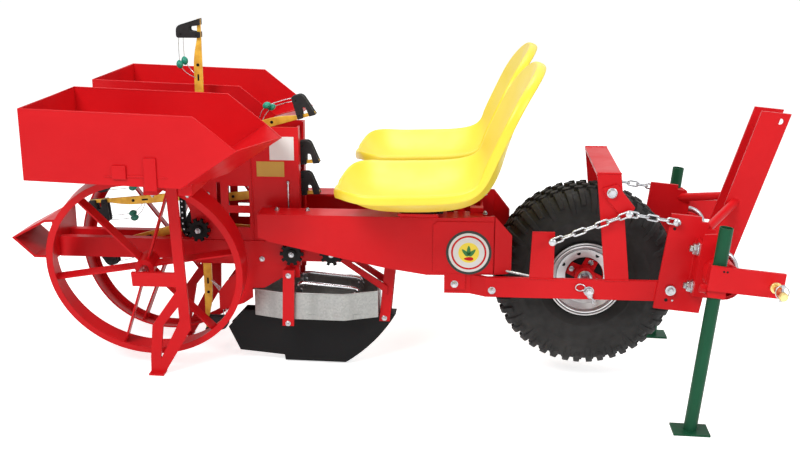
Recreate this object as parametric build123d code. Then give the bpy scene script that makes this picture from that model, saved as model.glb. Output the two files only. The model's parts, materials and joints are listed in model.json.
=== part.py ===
"""Bare root transplanter for a three-point tractor hitch, as it parks on its two stands and two rear legs.

X points forward to the tractor, Y to the machine's left, Z up, in millimetres.
The planting unit is drawn level, with its front wheel's axle over x = 0 and heights above the floor, and is
then pitched nose up. The hitch head is drawn upright about its float bolt and is then leaned forward.
"""
import os
from math import atan2, cos, degrees, hypot, pi, radians, sin, tan

from build123d import *

os.makedirs("parts", exist_ok=True)

# Attitude as parked, and the gap left between pieces that only lie side by side
UNIT_PITCH = 1.3
HEAD_LEAN = 4.2
RUNNING_GAP = 0.05
SEAT_GAP = 0.3

# A reach past every piece, for cutting away all that lies on one side of a plane
BEYOND = 4000

# Front wheel
AXLE_HEIGHT = 365
TYRE_RADIUS = 303
TYRE_WIDTH = 250
TYRE_LUG_DEPTH = 16
RIM_RADIUS = 118
RIM_WIDTH = 190
RIM_WALL = 4
FRONT_AXLE_RADIUS = 15
FRONT_HUB_RADIUS = 34

# Main beam: two folded side plates with a top flange, over two inner rails
BEAM_HALF_WIDTH = 190
BEAM_TOP = 588
BEAM_REAR = -1053
BEAM_NOSE = -300
NOSE_TURN = 18
BEAM_SHEET = 8
BEAM_FLANGE = 92
RAIL_REAR = -1755
RAIL_FRONT = -345
RAIL_OUTER_Y = 66
RAIL_WIDTH = 30
RAIL_BOTTOM = 397
RAIL_HEIGHT = 68
RAIL_WALL = 5
BULKHEAD_SHEET = 8

# Arms beside the front wheel, and the arch over it
ARM_Y = 204
ARM_REAR_Y = 174
ARM_THICKNESS = 16
ARM_BOTTOM = 338
ARM_HEIGHT = 64
ARM_TAIL = -456
ARM_FRONT = 285
ARCH_X = 85
ARCH_WIDTH = 74
ARCH_SHEET = 10
ARCH_TOP = 745
ARCH_LEAN = 6.6
HOOK_SHEET = 8
CHAIN_POST_TOP = 554

# Lift chains
LINK_Y = 235
LINK_WIRE = 7
LINK_WIDTH = 23
LINK_PIN_RADIUS = 4

# Hitch head, measured from its float bolt
FLOAT_BOLT_X = 249
FLOAT_BOLT_HEIGHT = 380
FLOAT_BOLT_RADIUS = 10
BOLT_PLAY = 0.3
BOLT_HEAD = 12
CLAMP_SHEET = 10
TOOLBAR_X = 118
TOOLBAR_HEIGHT = 93
TOOLBAR_RADIUS = 51
TOOLBAR_WALL = 6
U_BOLT_RADIUS = 8
U_BOLT_Y = 268
SADDLE_X = 54
MAST_INNER_Y = 40
MAST_BAR = 10
MAST_WIDTH = 90
MAST_BASE_X = 176
MAST_TOP_X = 270
MAST_TOP_HEIGHT = 560
TOP_LINK_DROP = 27
TOP_LINK_FORWARD = 22.5
TOP_LINK_RADIUS = 9.75
HITCH_ARM_FRONT = 273
HITCH_ARM_BOTTOM = 80
HITCH_ARM_HEIGHT = 75
HITCH_ARM_SHEET = 12
HITCH_PIN_X = 249
HITCH_PIN_HEIGHT = 113
HITCH_PIN_RADIUS = 11
HITCH_PIN_LENGTH = 92

# Parking stands
STAND_Y = 411
STAND_X = 90
STAND_RADIUS = 20
STAND_WALL = 3
STAND_TOP = 264
SLEEVE_SIDE = 52
SLEEVE_BOTTOM = 56
SLEEVE_HEIGHT = 92
SLEEVE_CLEARANCE = 0.5
FOOT_LENGTH = 110
FOOT_WIDTH = 80
FOOT_SHEET = 6

# Gripper chain loop
LOOP_X = -1270
LOOP_TOP = 792
LOOP_BOTTOM = 505
LOOP_RADIUS = 75
GRIPPER_COUNT = 10
GRIPPER_REACH = 320
GRIPPER_LAG = 6
GRIPPER_BAR = 10
JAW_LENGTH = 62
JAW_WIDTH = 36
CHAIN_WIDTH = 16
CHAIN_THICKNESS = 18
SHAFT_RADIUS = 12
SPROCKET_WIDTH = 8
SPROCKET_Y = 92
SPROCKET_TEETH = 10

# Side frames and the guide column in front of the loop
FRAME_PLATE = 6
FRAME_BOTTOM = 385
FRAME_TOP = 835
COLUMN_REAR = -1090
COLUMN_FRONT = -935
COLUMN_TOP = 848
COLUMN_FLANGE = 34
WINDOW_INSET = 12
WINDOW_LENGTH = 69
SLOT_INSET = 107
SLOT_LENGTH = 13

# Plant boxes
BOX_SHEET = 3
BOX_OUTER_Y = 532
BOX_INNER_Y = 85
BOX_REAR = -1658
BOX_FRONT = -944
BOX_REAR_TOP = 972
BOX_SHOULDER = 955
BOX_LIP = 859
BOX_FLOOR_REAR = 765
BOX_FLOOR_FRONT = 748
BOX_FLOOR_FRONT_X = -1200
BOX_SUPPORT_BOTTOM = 721

# Press wheels and the rear legs outside them
PRESS_RADIUS = 322
PRESS_WIDTH = 80
PRESS_SHEET = 6
PRESS_LIP = 22
PRESS_CAMBER = 12
PRESS_HUB_X = -1425
PRESS_HUB_Y = 168
PRESS_HUB_HEIGHT = 408
PRESS_HUB_RADIUS = 32
PRESS_HUB_LENGTH = 70
PRESS_SPOKES = 6
PRESS_SPOKE_WIDTH = 40
PRESS_PHASE = 10
PRESS_AXLE_RADIUS = 14
LEG_LEAN = 9.3
LEG_BAR = 35
LEG_SHEET = 10
LEG_FOOT_X = -1406
LEG_FOOT_Y = 181
POST_X = -1296
GUARD_SHEET = 8
GUARD_HALF_WIDTH = 100

# Opener shoe and its trough
SHOE_HALF_WIDTH = 28
SHOE_SHEET = 5
SHOE_TOP = 206
TROUGH_HEIGHT = 90
TROUGH_REAR = -1095
TROUGH_CLEARANCE = 6
TROUGH_SHEET = 2.5
HANGER_Y = 112

# Seats
SEAT_Y = 283
SEAT_SHELL = 7
SEAT_SECTIONS = 10
SEAT_LINE = (
    # the shell's middle line from front lip to back's top, as x, y, z
    (-790, 0, 692), (-745, 0, 663), (-690, 0, 645), (-560, 0, 634), (-440, 0, 641), (-356, 0, 669),
    (-300, 0, 738), (-268, 0, 835), (-235, 0, 925), (-202, 0, 1010), (-170, 0, 1086))
SEAT_GIRTH = (
    # distance along that line, half width and height of the sides
    (0, 112, 14), (60, 190, 66), (130, 228, 94), (260, 240, 100), (380, 241, 96), (451, 240, 78),
    (540, 236, 52), (642, 230, 42), (738, 216, 36), (829, 188, 26), (911, 122, 10))

placed = {}


def place(node, *shapes, frame="unit"):
    """Files shapes under a node's name, in the unit's or the head's own frame."""
    placed.setdefault(node, []).extend((frame, shape) for shape in shapes)


def side_plate(points, outer_y, thickness):
    """A flat plate standing in the XZ plane, its far face at outer_y and its body towards y = 0."""
    plate = extrude(make_face(Polyline(*points, close=True)), thickness)
    plate = Rot(90, 0, 0) * plate
    low, high = plate.bounding_box().min.Y, plate.bounding_box().max.Y
    if outer_y < 0:
        return Pos(0, outer_y - low, 0) * plate
    return Pos(0, outer_y - high, 0) * plate


def mirrored(shape):
    """The same piece on the other side of the machine."""
    return mirror(shape, Plane.XZ)


def both_sides(node, shape, frame="unit"):
    """A right-hand piece and its mirror image, as two nodes."""
    place(node + "_right", shape, frame=frame)
    place(node + "_left", mirrored(shape), frame=frame)


def block(x0, x1, y0, y1, z0, z1):
    """A plain bar between two corners."""
    return Pos((x0 + x1) / 2, (y0 + y1) / 2, (z0 + z1) / 2) * Box(x1 - x0, y1 - y0, z1 - z0)


def cross_pin(x, z, radius, y0, y1):
    """A round bar across the machine."""
    return Pos(x, (y0 + y1) / 2, z) * Rot(90, 0, 0) * Cylinder(radius, y1 - y0)


def tube_between(start, end, radius):
    """A round bar from one point to another."""
    path = Line(start, end)
    return sweep(Plane(origin=start, z_dir=path % 0) * Circle(radius), path)


def rectangular_tube(x0, x1, y0, y1, z0, z1, wall):
    """A rectangular tube along X, open at both ends."""
    return block(x0, x1, y0, y1, z0, z1) - block(
        x0 - 1, x1 + 1, y0 + wall, y1 - wall, z0 + wall, z1 - wall)


def front_wheel():
    """The lugged tyre, its rim and its hub, which turn together on the fixed axle."""
    half = TYRE_WIDTH / 2
    carcass = TYRE_RADIUS - TYRE_LUG_DEPTH
    bead = RIM_RADIUS + SEAT_GAP
    section = make_face(
        Line((bead, -70), (bead, 70))
        + ThreePointArc((bead, 70), (190, half - 4), (carcass - 42, half - 12))
        + ThreePointArc((carcass - 42, half - 12), (carcass, 0), (carcass - 42, -half + 12))
        + ThreePointArc((carcass - 42, -half + 12), (190, -half + 4), (bead, -70)))
    tyre = revolve(Plane.XY * section, Axis.Y)
    lug_count = 18
    lug_rows = ((-62, 0.0, 96, 30, 14), (62, 0.5, 96, 30, -14), (0, 0.25, 70, 34, 0))
    for lug_y, phase, length, width, skew in lug_rows:
        for index in range(lug_count):
            turn = (index + phase) * 360 / lug_count
            height = TYRE_LUG_DEPTH + 22
            drop = 14 if lug_y else 0
            lug = Rot(0, 0, skew) * Box(width, length, height)
            lug = Pos(0, lug_y, TYRE_RADIUS - height / 2 - drop / 2) * Rot(-lug_y / 5, 0, 0) * lug
            tyre = tyre + Rot(0, turn, 0) * lug
    tyre = tyre & (Rot(90, 0, 0) * Cylinder(TYRE_RADIUS, TYRE_WIDTH + 10))
    place("front_tyre", Pos(0, 0, AXLE_HEIGHT) * tyre)
    rim_half = RIM_WIDTH / 2
    rim = make_face(Polyline(
        (RIM_RADIUS, -rim_half + 24), (RIM_RADIUS, rim_half - 24), (RIM_RADIUS - 4, rim_half),
        (RIM_RADIUS - 8, rim_half), (RIM_RADIUS - RIM_WALL - 4, rim_half - 26),
        (RIM_RADIUS - 26, rim_half - 40), (RIM_RADIUS - 26, -rim_half + 40),
        (RIM_RADIUS - RIM_WALL - 4, -rim_half + 26),
        (RIM_RADIUS - 8, -rim_half), (RIM_RADIUS - 4, -rim_half), close=True))
    place("front_rim", Pos(0, 0, AXLE_HEIGHT) * revolve(Plane.XY * rim, Axis.Y))
    disc_radius = RIM_RADIUS - 26 - SEAT_GAP
    hub = Rot(90, 0, 0) * Cylinder(FRONT_HUB_RADIUS, 150)
    for side in (-1, 1):
        hub = hub + Pos(0, side * 30, 0) * Rot(90, 0, 0) * Cylinder(disc_radius, 8)
    bore = Rot(90, 0, 0) * Cylinder(FRONT_AXLE_RADIUS + RUNNING_GAP, 200)
    place("front_hub", Pos(0, 0, AXLE_HEIGHT) * (hub - bore))


def front_axle():
    """The fixed axle across the two arms."""
    inner_y = ARM_Y - ARM_THICKNESS / 2
    place("front_axle", cross_pin(0, AXLE_HEIGHT, FRONT_AXLE_RADIUS, -inner_y, inner_y))


def beam():
    """Folded side plates with their nose cheeks, inner rails and bulkheads."""
    clear_arm = ARM_BOTTOM + ARM_HEIGHT + 2
    outline = (
        (BEAM_REAR, BEAM_TOP), (-430, BEAM_TOP), (BEAM_NOSE, BEAM_TOP + 8), (BEAM_NOSE, clear_arm), (-389, clear_arm),
        (-389, 352), (ARM_TAIL, 352), (ARM_TAIL, 400), (-512, 399), (-640, 418), (-821, 455),
        (-1014, 497), (BEAM_REAR, 512))
    side = side_plate(outline, -BEAM_HALF_WIDTH, BEAM_SHEET)
    inner = BEAM_HALF_WIDTH - BEAM_FLANGE
    flange = block(BEAM_REAR, RAIL_FRONT + BULKHEAD_SHEET, -BEAM_HALF_WIDTH, -inner, BEAM_TOP - BEAM_SHEET, BEAM_TOP)
    cheek = side_plate(((0, BEAM_TOP + 8), (57, 530), (57, 408), (40, clear_arm), (0, clear_arm)), 0, BEAM_SHEET)
    cheek = Pos(BEAM_NOSE, -BEAM_HALF_WIDTH + BEAM_SHEET, 0) * Rot(0, 0, NOSE_TURN) * cheek
    side = side + flange + cheek
    place("beam_sides", side, mirrored(side))
    rail = rectangular_tube(RAIL_REAR, RAIL_FRONT, -RAIL_OUTER_Y, -RAIL_OUTER_Y + RAIL_WIDTH,
                            RAIL_BOTTOM, RAIL_BOTTOM + RAIL_HEIGHT, RAIL_WALL)
    place("rails", rail, mirrored(rail))
    inside = BEAM_HALF_WIDTH - BEAM_SHEET
    plate_top = BEAM_TOP - BEAM_SHEET
    place("bulkheads", block(RAIL_FRONT, RAIL_FRONT + BULKHEAD_SHEET, -inside, inside, clear_arm, plate_top))
    for station, low, edge in ((-1030, 505, RAIL_OUTER_Y + FRAME_PLATE), (-700, 440, RAIL_OUTER_Y)):
        bulkhead = block(station, station + BULKHEAD_SHEET, -inside, -edge, low, plate_top)
        place("bulkheads", bulkhead, mirrored(bulkhead))


def arms():
    """The arms beside the front wheel, joggled out past the tyre, with posts and the arch."""
    half = ARM_THICKNESS / 2
    plan = make_face(Polyline(
        (ARM_TAIL, -ARM_REAR_Y - half), (-374, -ARM_REAR_Y - half), (-324, -ARM_Y - half),
        (ARM_FRONT, -ARM_Y - half), (ARM_FRONT, -ARM_Y + half), (-320, -ARM_Y + half),
        (-370, -ARM_REAR_Y + half), (ARM_TAIL, -ARM_REAR_Y + half), close=True))
    bar = extrude(Pos(0, 0, ARM_BOTTOM) * plan, ARM_HEIGHT)
    bar = bar - cross_pin(FLOAT_BOLT_X, FLOAT_BOLT_HEIGHT, FLOAT_BOLT_RADIUS + BOLT_PLAY, -ARM_Y - 20, -ARM_Y + 20)
    top = ARM_BOTTOM + ARM_HEIGHT
    outer = ARM_Y + half
    post = side_plate(((-188, top - 1), (-112, top - 1), (-112, CHAIN_POST_TOP), (-182, CHAIN_POST_TOP)),
                      -outer, ARCH_SHEET)
    bar = bar + post
    place("arms", bar, mirrored(bar))
    lean = tan(radians(ARCH_LEAN))
    height = ARCH_TOP - top
    leg = side_plate((
        (ARCH_X - ARCH_WIDTH / 2, top), (ARCH_X + ARCH_WIDTH / 2, top),
        (ARCH_X + ARCH_WIDTH / 2 - height * lean, ARCH_TOP),
        (ARCH_X - ARCH_WIDTH / 2 - height * lean, ARCH_TOP)), -outer, ARCH_SHEET)
    head_x = ARCH_X - height * lean
    bridge = block(head_x - ARCH_WIDTH / 2, head_x + ARCH_WIDTH / 2, -outer, outer,
                   ARCH_TOP - ARCH_SHEET, ARCH_TOP)
    lug = side_plate(((28, 700), (70, 712), (128, 640), (112, 606), (92, 606), (40, 668)),
                     -outer - HOOK_SHEET, HOOK_SHEET)
    place("wheel_arch", leg + bridge + mirrored(leg) + lug + mirrored(lug))


def head_spot(x, z):
    """A point of the head's own frame, in the unit's frame."""
    turn = radians(HEAD_LEAN + UNIT_PITCH)
    return (FLOAT_BOLT_X + x * cos(turn) + z * sin(turn), FLOAT_BOLT_HEIGHT - x * sin(turn) + z * cos(turn))


def mast_lean():
    """How far the mast bars lean forward in the head's frame, in radians."""
    return atan2(MAST_TOP_X - MAST_BASE_X, MAST_TOP_HEIGHT - TOOLBAR_HEIGHT)


def top_link_spot():
    """The top link hole, below the mast's top and ahead of the bars' middle line."""
    return (MAST_TOP_X - TOP_LINK_DROP * tan(mast_lean()) + TOP_LINK_FORWARD, MAST_TOP_HEIGHT - TOP_LINK_DROP)


def lift_chains():
    """The chains that lift the unit: welded links, every other one turned, held on pins at three places."""
    outer = ARM_Y + ARM_THICKNESS / 2
    spots = ((-121, 531, outer), (109, 624, outer + HOOK_SHEET), head_spot(-17, 221) + (outer + CLAMP_SHEET,))
    for x, z, face in spots:
        pin = cross_pin(x, z, LINK_PIN_RADIUS, -LINK_Y - LINK_WIDTH / 2, -face)
        place("lift_chains", pin, mirrored(pin))
    for count, start, end in ((7, spots[0], spots[1]), (5, spots[1], spots[2])):
        span = hypot(end[0] - start[0], end[1] - start[1])
        pitch = (span + 2 * LINK_PIN_RADIUS + SEAT_GAP) / count
        inner = pitch + SEAT_GAP
        rise = -degrees(atan2(end[1] - start[1], end[0] - start[0]))
        wide = LINK_WIDTH
        link = SlotOverall(inner + 2 * LINK_WIRE, wide) - SlotOverall(inner, wide - 2 * LINK_WIRE)
        link = extrude(link, LINK_WIRE / 2, both=True)
        for index in range(count):
            along = inner / 2 - LINK_PIN_RADIUS - SEAT_GAP + index * pitch
            turn = 90 if index % 2 == 0 else 0
            spot = Pos(start[0], -LINK_Y, start[1]) * Rot(0, rise, 0) * Pos(along, 0, 0) * Rot(turn, 0, 0)
            place("lift_chains", spot * link, mirrored(spot * link))


def hitch_head():
    """Clamp plates, toolbar, mast, lower hitch arms and pins."""
    inner = ARM_Y + ARM_THICKNESS / 2
    outline = ((-33, 242), (60, 242), (60, 226), (84, 226), (84, 206), (108, 206), (104, -20), (100, -66), (-42, -66))
    plate = side_plate(outline, -inner - CLAMP_SHEET, CLAMP_SHEET)
    plate = plate - cross_pin(0, 0, FLOAT_BOLT_RADIUS + BOLT_PLAY, -inner - 30, -inner + 5)
    plate = plate - cross_pin(TOOLBAR_X, TOOLBAR_HEIGHT, TOOLBAR_RADIUS + SEAT_GAP, -inner - 30, -inner + 5)
    saddle = block(SADDLE_X, SADDLE_X + CLAMP_SHEET, -U_BOLT_Y - 32, -inner - CLAMP_SHEET + 1,
                   TOOLBAR_HEIGHT - 83, TOOLBAR_HEIGHT + 83)
    ring_radius = TOOLBAR_RADIUS + U_BOLT_RADIUS + SEAT_GAP
    legs = []
    for height in (TOOLBAR_HEIGHT - ring_radius, TOOLBAR_HEIGHT + ring_radius):
        hole = Pos(SADDLE_X, -U_BOLT_Y, height) * Rot(0, 90, 0) * Cylinder(U_BOLT_RADIUS + SEAT_GAP, 40)
        saddle = saddle - hole
        length = TOOLBAR_X - SADDLE_X + 14
        legs.append(Pos(TOOLBAR_X - length / 2, -U_BOLT_Y, height) * Rot(0, 90, 0) * Cylinder(U_BOLT_RADIUS, length))
    bend = Pos(TOOLBAR_X, -U_BOLT_Y, TOOLBAR_HEIGHT) * Rot(90, 0, 0) * Torus(ring_radius, U_BOLT_RADIUS)
    bend = bend & block(TOOLBAR_X, TOOLBAR_X + 100, -U_BOLT_Y - 20, -U_BOLT_Y + 20, 0, 200)
    u_bolt = bend + legs[0] + legs[1]
    place("u_bolts", u_bolt, mirrored(u_bolt), frame="head")
    plate = plate + saddle
    place("clamp_plates", plate, mirrored(plate), frame="head")
    sleeve_inner = STAND_Y - SLEEVE_SIDE / 2
    bar = cross_pin(TOOLBAR_X, TOOLBAR_HEIGHT, TOOLBAR_RADIUS, -sleeve_inner, sleeve_inner)
    bar = bar - cross_pin(TOOLBAR_X, TOOLBAR_HEIGHT, TOOLBAR_RADIUS - TOOLBAR_WALL, -sleeve_inner - 1, sleeve_inner + 1)
    place("toolbar", bar, frame="head")
    bolt = cross_pin(0, 0, FLOAT_BOLT_RADIUS, -inner - CLAMP_SHEET - 1, -inner + ARM_THICKNESS + 1)
    for face in (-inner - CLAMP_SHEET - BOLT_HEAD, -inner + ARM_THICKNESS):
        bolt = bolt + cross_pin(0, 0, FLOAT_BOLT_RADIUS * 1.6, face, face + BOLT_HEAD)
    place("float_bolts", bolt, mirrored(bolt), frame="head")
    lean = mast_lean()
    half = MAST_WIDTH / 2 / cos(lean)
    low = TOOLBAR_HEIGHT - 30
    base_x = MAST_BASE_X + (low - TOOLBAR_HEIGHT) * tan(lean)
    mast = side_plate(((base_x - half, low), (base_x + half, low),
                       (MAST_TOP_X + half, MAST_TOP_HEIGHT), (MAST_TOP_X - half, MAST_TOP_HEIGHT)),
                      -MAST_INNER_Y - MAST_BAR, MAST_BAR)
    link_x, link_z = top_link_spot()
    hole = cross_pin(link_x, link_z, TOP_LINK_RADIUS, -2 * MAST_INNER_Y, 0)
    seat = cross_pin(TOOLBAR_X, TOOLBAR_HEIGHT, TOOLBAR_RADIUS + SEAT_GAP, -2 * MAST_INNER_Y, 0)
    mast = mast - hole - seat
    place("mast_bars", mast, mirrored(mast), frame="head")
    brace = tube_between((196, -MAST_INNER_Y, 262), (74, -inner - 10, 198), 14)
    brace = brace & block(0, 300, -inner, -MAST_INNER_Y - MAST_BAR, 0, 400)
    place("mast_braces", brace, mirrored(brace), frame="head")
    arm_inner = STAND_Y + SLEEVE_SIDE / 2
    arm = side_plate(((STAND_X - 32, HITCH_ARM_BOTTOM), (HITCH_ARM_FRONT, HITCH_ARM_BOTTOM),
                      (HITCH_ARM_FRONT, HITCH_ARM_BOTTOM + HITCH_ARM_HEIGHT),
                      (STAND_X - 32, HITCH_ARM_BOTTOM + HITCH_ARM_HEIGHT)),
                     -arm_inner - HITCH_ARM_SHEET, HITCH_ARM_SHEET)
    place("hitch_arms", arm, mirrored(arm), frame="head")
    pin = cross_pin(HITCH_PIN_X, HITCH_PIN_HEIGHT, HITCH_PIN_RADIUS,
                    -arm_inner - HITCH_ARM_SHEET - HITCH_PIN_LENGTH, -arm_inner - HITCH_ARM_SHEET)
    place("hitch_pins", pin, mirrored(pin), frame="head")
    sleeve = block(STAND_X - SLEEVE_SIDE / 2, STAND_X + SLEEVE_SIDE / 2, -arm_inner, -sleeve_inner,
                   SLEEVE_BOTTOM, SLEEVE_BOTTOM + SLEEVE_HEIGHT)
    bore = Pos(STAND_X, -STAND_Y, 0) * Cylinder(STAND_RADIUS + SLEEVE_CLEARANCE, 600)
    place("stand_sleeves", sleeve - bore, mirrored(sleeve - bore), frame="head")


def stands(foot_low):
    """Round stands in the sleeves, each with a foot plate that lies flat on the floor."""
    tube = Pos(STAND_X, -STAND_Y, (STAND_TOP + foot_low) / 2) * Cylinder(STAND_RADIUS, STAND_TOP - foot_low)
    tube = tube - Pos(STAND_X, -STAND_Y, (STAND_TOP + foot_low) / 2) * Cylinder(
        STAND_RADIUS - STAND_WALL, STAND_TOP - foot_low + 2)
    foot = Pos(STAND_X, -STAND_Y, foot_low) * Rot(0, -HEAD_LEAN, 0) * Box(FOOT_LENGTH, FOOT_WIDTH, FOOT_SHEET)
    both_sides("stand", tube + foot, frame="head")


def loop_point(distance):
    """Place and outward angle on the loop, at a distance from its top along the way the chain travels."""
    quarter = LOOP_RADIUS * pi / 2
    run = LOOP_TOP - LOOP_BOTTOM
    total = 2 * run + 4 * quarter
    distance = distance % total
    if distance < quarter or distance > total - quarter:
        turn = distance if distance < quarter else distance - total
        angle = 90 - degrees(turn / LOOP_RADIUS)
        return LOOP_X + LOOP_RADIUS * cos(radians(angle)), LOOP_TOP + LOOP_RADIUS * sin(radians(angle)), angle
    if distance < quarter + run:
        return LOOP_X + LOOP_RADIUS, LOOP_TOP - (distance - quarter), 0
    if distance < 3 * quarter + run:
        angle = -degrees((distance - quarter - run) / LOOP_RADIUS)
        return LOOP_X + LOOP_RADIUS * cos(radians(angle)), LOOP_BOTTOM + LOOP_RADIUS * sin(radians(angle)), angle
    return LOOP_X - LOOP_RADIUS, LOOP_BOTTOM + (distance - 3 * quarter - run), 180


def loop_slot(radius, width):
    """The loop's outline at a radius round its sprockets, as a solid across the machine."""
    run = LOOP_TOP - LOOP_BOTTOM
    solid = extrude(Rot(0, 0, 90) * SlotCenterToCenter(run, 2 * radius), width / 2, both=True)
    return Pos(LOOP_X, 0, (LOOP_TOP + LOOP_BOTTOM) / 2) * Rot(90, 0, 0) * solid


def gripper_chain():
    """The endless chain, its sprockets and shafts."""
    half = CHAIN_THICKNESS / 2
    place("gripper_chain", loop_slot(LOOP_RADIUS + half, CHAIN_WIDTH) - loop_slot(LOOP_RADIUS - half, 2 * CHAIN_WIDTH))
    for height in (LOOP_TOP, LOOP_BOTTOM):
        disc = cross_pin(LOOP_X, height, LOOP_RADIUS - half - SEAT_GAP, -SPROCKET_WIDTH / 2, SPROCKET_WIDTH / 2)
        shaft = cross_pin(LOOP_X, height, SHAFT_RADIUS, -RAIL_OUTER_Y, RAIL_OUTER_Y)
        place("chain_sprockets", disc + shaft)


def grippers():
    """Arms standing off the chain, each with a notched jaw at its tip."""
    total = 2 * (LOOP_TOP - LOOP_BOTTOM) + 2 * LOOP_RADIUS * pi
    jaw_root = GRIPPER_REACH - JAW_LENGTH
    arm_shape = make_face(Polyline((0, -14), (jaw_root, -10), (jaw_root, 14), (0, 14), close=True))
    jaw_shape = make_face(Polyline(
        (GRIPPER_REACH, 14), (GRIPPER_REACH - 24, -64), (jaw_root, -64), (jaw_root, 14),
        (jaw_root + 18, 14), (jaw_root + 22, -20), (jaw_root + 36, -20), (jaw_root + 40, 14), close=True))
    arm = Rot(90, 0, 0) * Rot(180, 0, 0) * extrude(arm_shape, GRIPPER_BAR / 2, both=True)
    jaw = Rot(90, 0, 0) * Rot(180, 0, 0) * extrude(jaw_shape, JAW_WIDTH / 2, both=True)
    band = loop_slot(LOOP_RADIUS + CHAIN_THICKNESS / 2, 2 * CHAIN_WIDTH)
    for index in range(GRIPPER_COUNT):
        x, z, angle = loop_point(index * total / GRIPPER_COUNT)
        lean = angle + GRIPPER_LAG * abs(cos(radians(angle)))
        spot = Pos(x, 0, z) * Rot(0, -lean, 0)
        place("gripper_arms", spot * arm - band)
        place("gripper_jaws", spot * jaw)


def side_frames():
    """Plates beside the loop, which carry its shafts, and the guide column's two panels in front of it."""
    outer = RAIL_OUTER_Y + FRAME_PLATE
    plate = side_plate(((-1290, FRAME_BOTTOM), (COLUMN_REAR, FRAME_BOTTOM), (COLUMN_REAR, FRAME_TOP),
                        (-1300, FRAME_TOP), (-1330, FRAME_TOP - 40), (-1330, 640), (-1300, 560)), -outer, FRAME_PLATE)
    window = COLUMN_REAR - WINDOW_INSET
    gap_low = block(window - WINDOW_LENGTH, window, -2 * outer, 0, 511, 560)
    gap_high = block(window - WINDOW_LENGTH, window, -2 * outer, 0, 585, 651)
    slot = block(COLUMN_REAR - SLOT_INSET - SLOT_LENGTH, COLUMN_REAR - SLOT_INSET, -2 * outer, 0, 586, 663)
    panel = side_plate(((COLUMN_REAR, FRAME_BOTTOM), (COLUMN_FRONT, FRAME_BOTTOM), (COLUMN_FRONT, COLUMN_TOP),
                        (COLUMN_REAR, COLUMN_TOP)), -outer, FRAME_PLATE)
    flange = block(COLUMN_FRONT - FRAME_PLATE, COLUMN_FRONT, -outer, -outer + COLUMN_FLANGE,
                   RAIL_BOTTOM + RAIL_HEIGHT + 2, COLUMN_TOP)
    frame = plate - gap_low - gap_high - slot + panel + flange
    place("side_frames", frame, mirrored(frame))


def plant_box_hull(inset, lid):
    """The plant box's outer faces drawn in by an inset, with its open top raised by a lid."""
    mid_y = -(BOX_OUTER_Y + BOX_INNER_Y) / 2
    shape = block(BOX_REAR + inset, 0, -BOX_OUTER_Y + inset, -BOX_INNER_Y - inset, 600, 1300)
    top = Polyline((BOX_REAR - 50, BOX_REAR_TOP + 2), (-1156, BOX_SHOULDER), (-1035, BOX_LIP), (0, BOX_LIP), (0, 1400),
                   (BOX_REAR - 50, 1400), close=True)
    above = Pos(0, 0, lid) * Rot(90, 0, 0) * extrude(make_face(top), 1000, both=True)
    slope = (BOX_FLOOR_REAR - BOX_FLOOR_FRONT) / (BOX_FLOOR_FRONT_X - BOX_REAR)
    floor = Plane(origin=(BOX_REAR, 0, BOX_FLOOR_REAR + inset), z_dir=(slope, 0, 1)) * Pos(
        0, 0, -BEYOND / 2) * Box(BEYOND, BEYOND, BEYOND)
    shape = shape - above - floor
    for edge_y in (-BOX_OUTER_Y, -BOX_INNER_Y):
        wall = ((-1035, edge_y, BOX_LIP), (BOX_FRONT, mid_y, BOX_LIP), (BOX_FLOOR_FRONT_X, edge_y, BOX_FLOOR_FRONT))
        shape = shape & front_side(wall, inset)
    return shape


def front_side(points, inset):
    """Everything behind the plane through three points, drawn in by an inset."""
    first, second, third = (Vector(*point) for point in points)
    normal = (second - first).cross(third - first).normalized()
    if normal.X < 0:
        normal = normal * -1
    return Plane(origin=first - normal * inset, z_dir=normal) * Pos(0, 0, -BEYOND / 2) * Box(BEYOND, BEYOND, BEYOND)


def plant_boxes():
    """Open sheet boxes with a pointed front, a raised rear and a lowered lip, on cross bars."""
    outer = plant_box_hull(0, 0)
    both_sides("plant_box", outer - plant_box_hull(BOX_SHEET, 40))
    for station in (-1318, -1215):
        bar = block(station, station + 40, -BOX_OUTER_Y + 30, -RAIL_OUTER_Y - FRAME_PLATE,
                    BOX_SUPPORT_BOTTOM, BOX_FLOOR_REAR) - outer
        place("box_supports", bar, mirrored(bar))


def press_frame():
    """The cambered frame of the right-hand press wheel: origin at its hub, local Z outwards along the axle."""
    return Pos(PRESS_HUB_X, -PRESS_HUB_Y, PRESS_HUB_HEIGHT) * Rot(90 + PRESS_CAMBER, 0, 0)


def press_wheels():
    """Rolled rims with a lip, flat spokes and a plain hub, tops leaning out."""
    half = PRESS_WIDTH / 2
    inner = PRESS_RADIUS - PRESS_SHEET
    lip = PRESS_RADIUS - PRESS_LIP
    section = make_face(Polyline(
        (PRESS_RADIUS, -half), (PRESS_RADIUS, half), (lip, half), (lip, half - PRESS_SHEET),
        (inner, half - PRESS_SHEET), (inner, -half), close=True))
    rim = revolve(Plane.XZ * section, Axis.Z)
    length = inner - PRESS_HUB_RADIUS + 2
    for index in range(PRESS_SPOKES):
        turn = PRESS_PHASE + index * 360 / PRESS_SPOKES
        spoke = Pos(inner + 1 - length / 2, 0, 0) * Box(length, PRESS_SHEET, PRESS_SPOKE_WIDTH)
        rim = rim + Rot(0, 0, turn) * spoke
    rim = rim - Cylinder(PRESS_HUB_RADIUS, PRESS_WIDTH)
    both_sides("press_rim", press_frame() * rim)
    hub = Cylinder(PRESS_HUB_RADIUS, PRESS_HUB_LENGTH) - Cylinder(PRESS_AXLE_RADIUS + RUNNING_GAP, PRESS_WIDTH)
    both_sides("press_hub", press_frame() * hub)


def leg_frame():
    """The leaning plane of the right-hand rear leg: origin under the foot, local Z up the leg's inner face."""
    return Pos(0, -LEG_FOOT_Y, leg_floor()) * Rot(LEG_LEAN, 0, 0)


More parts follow.
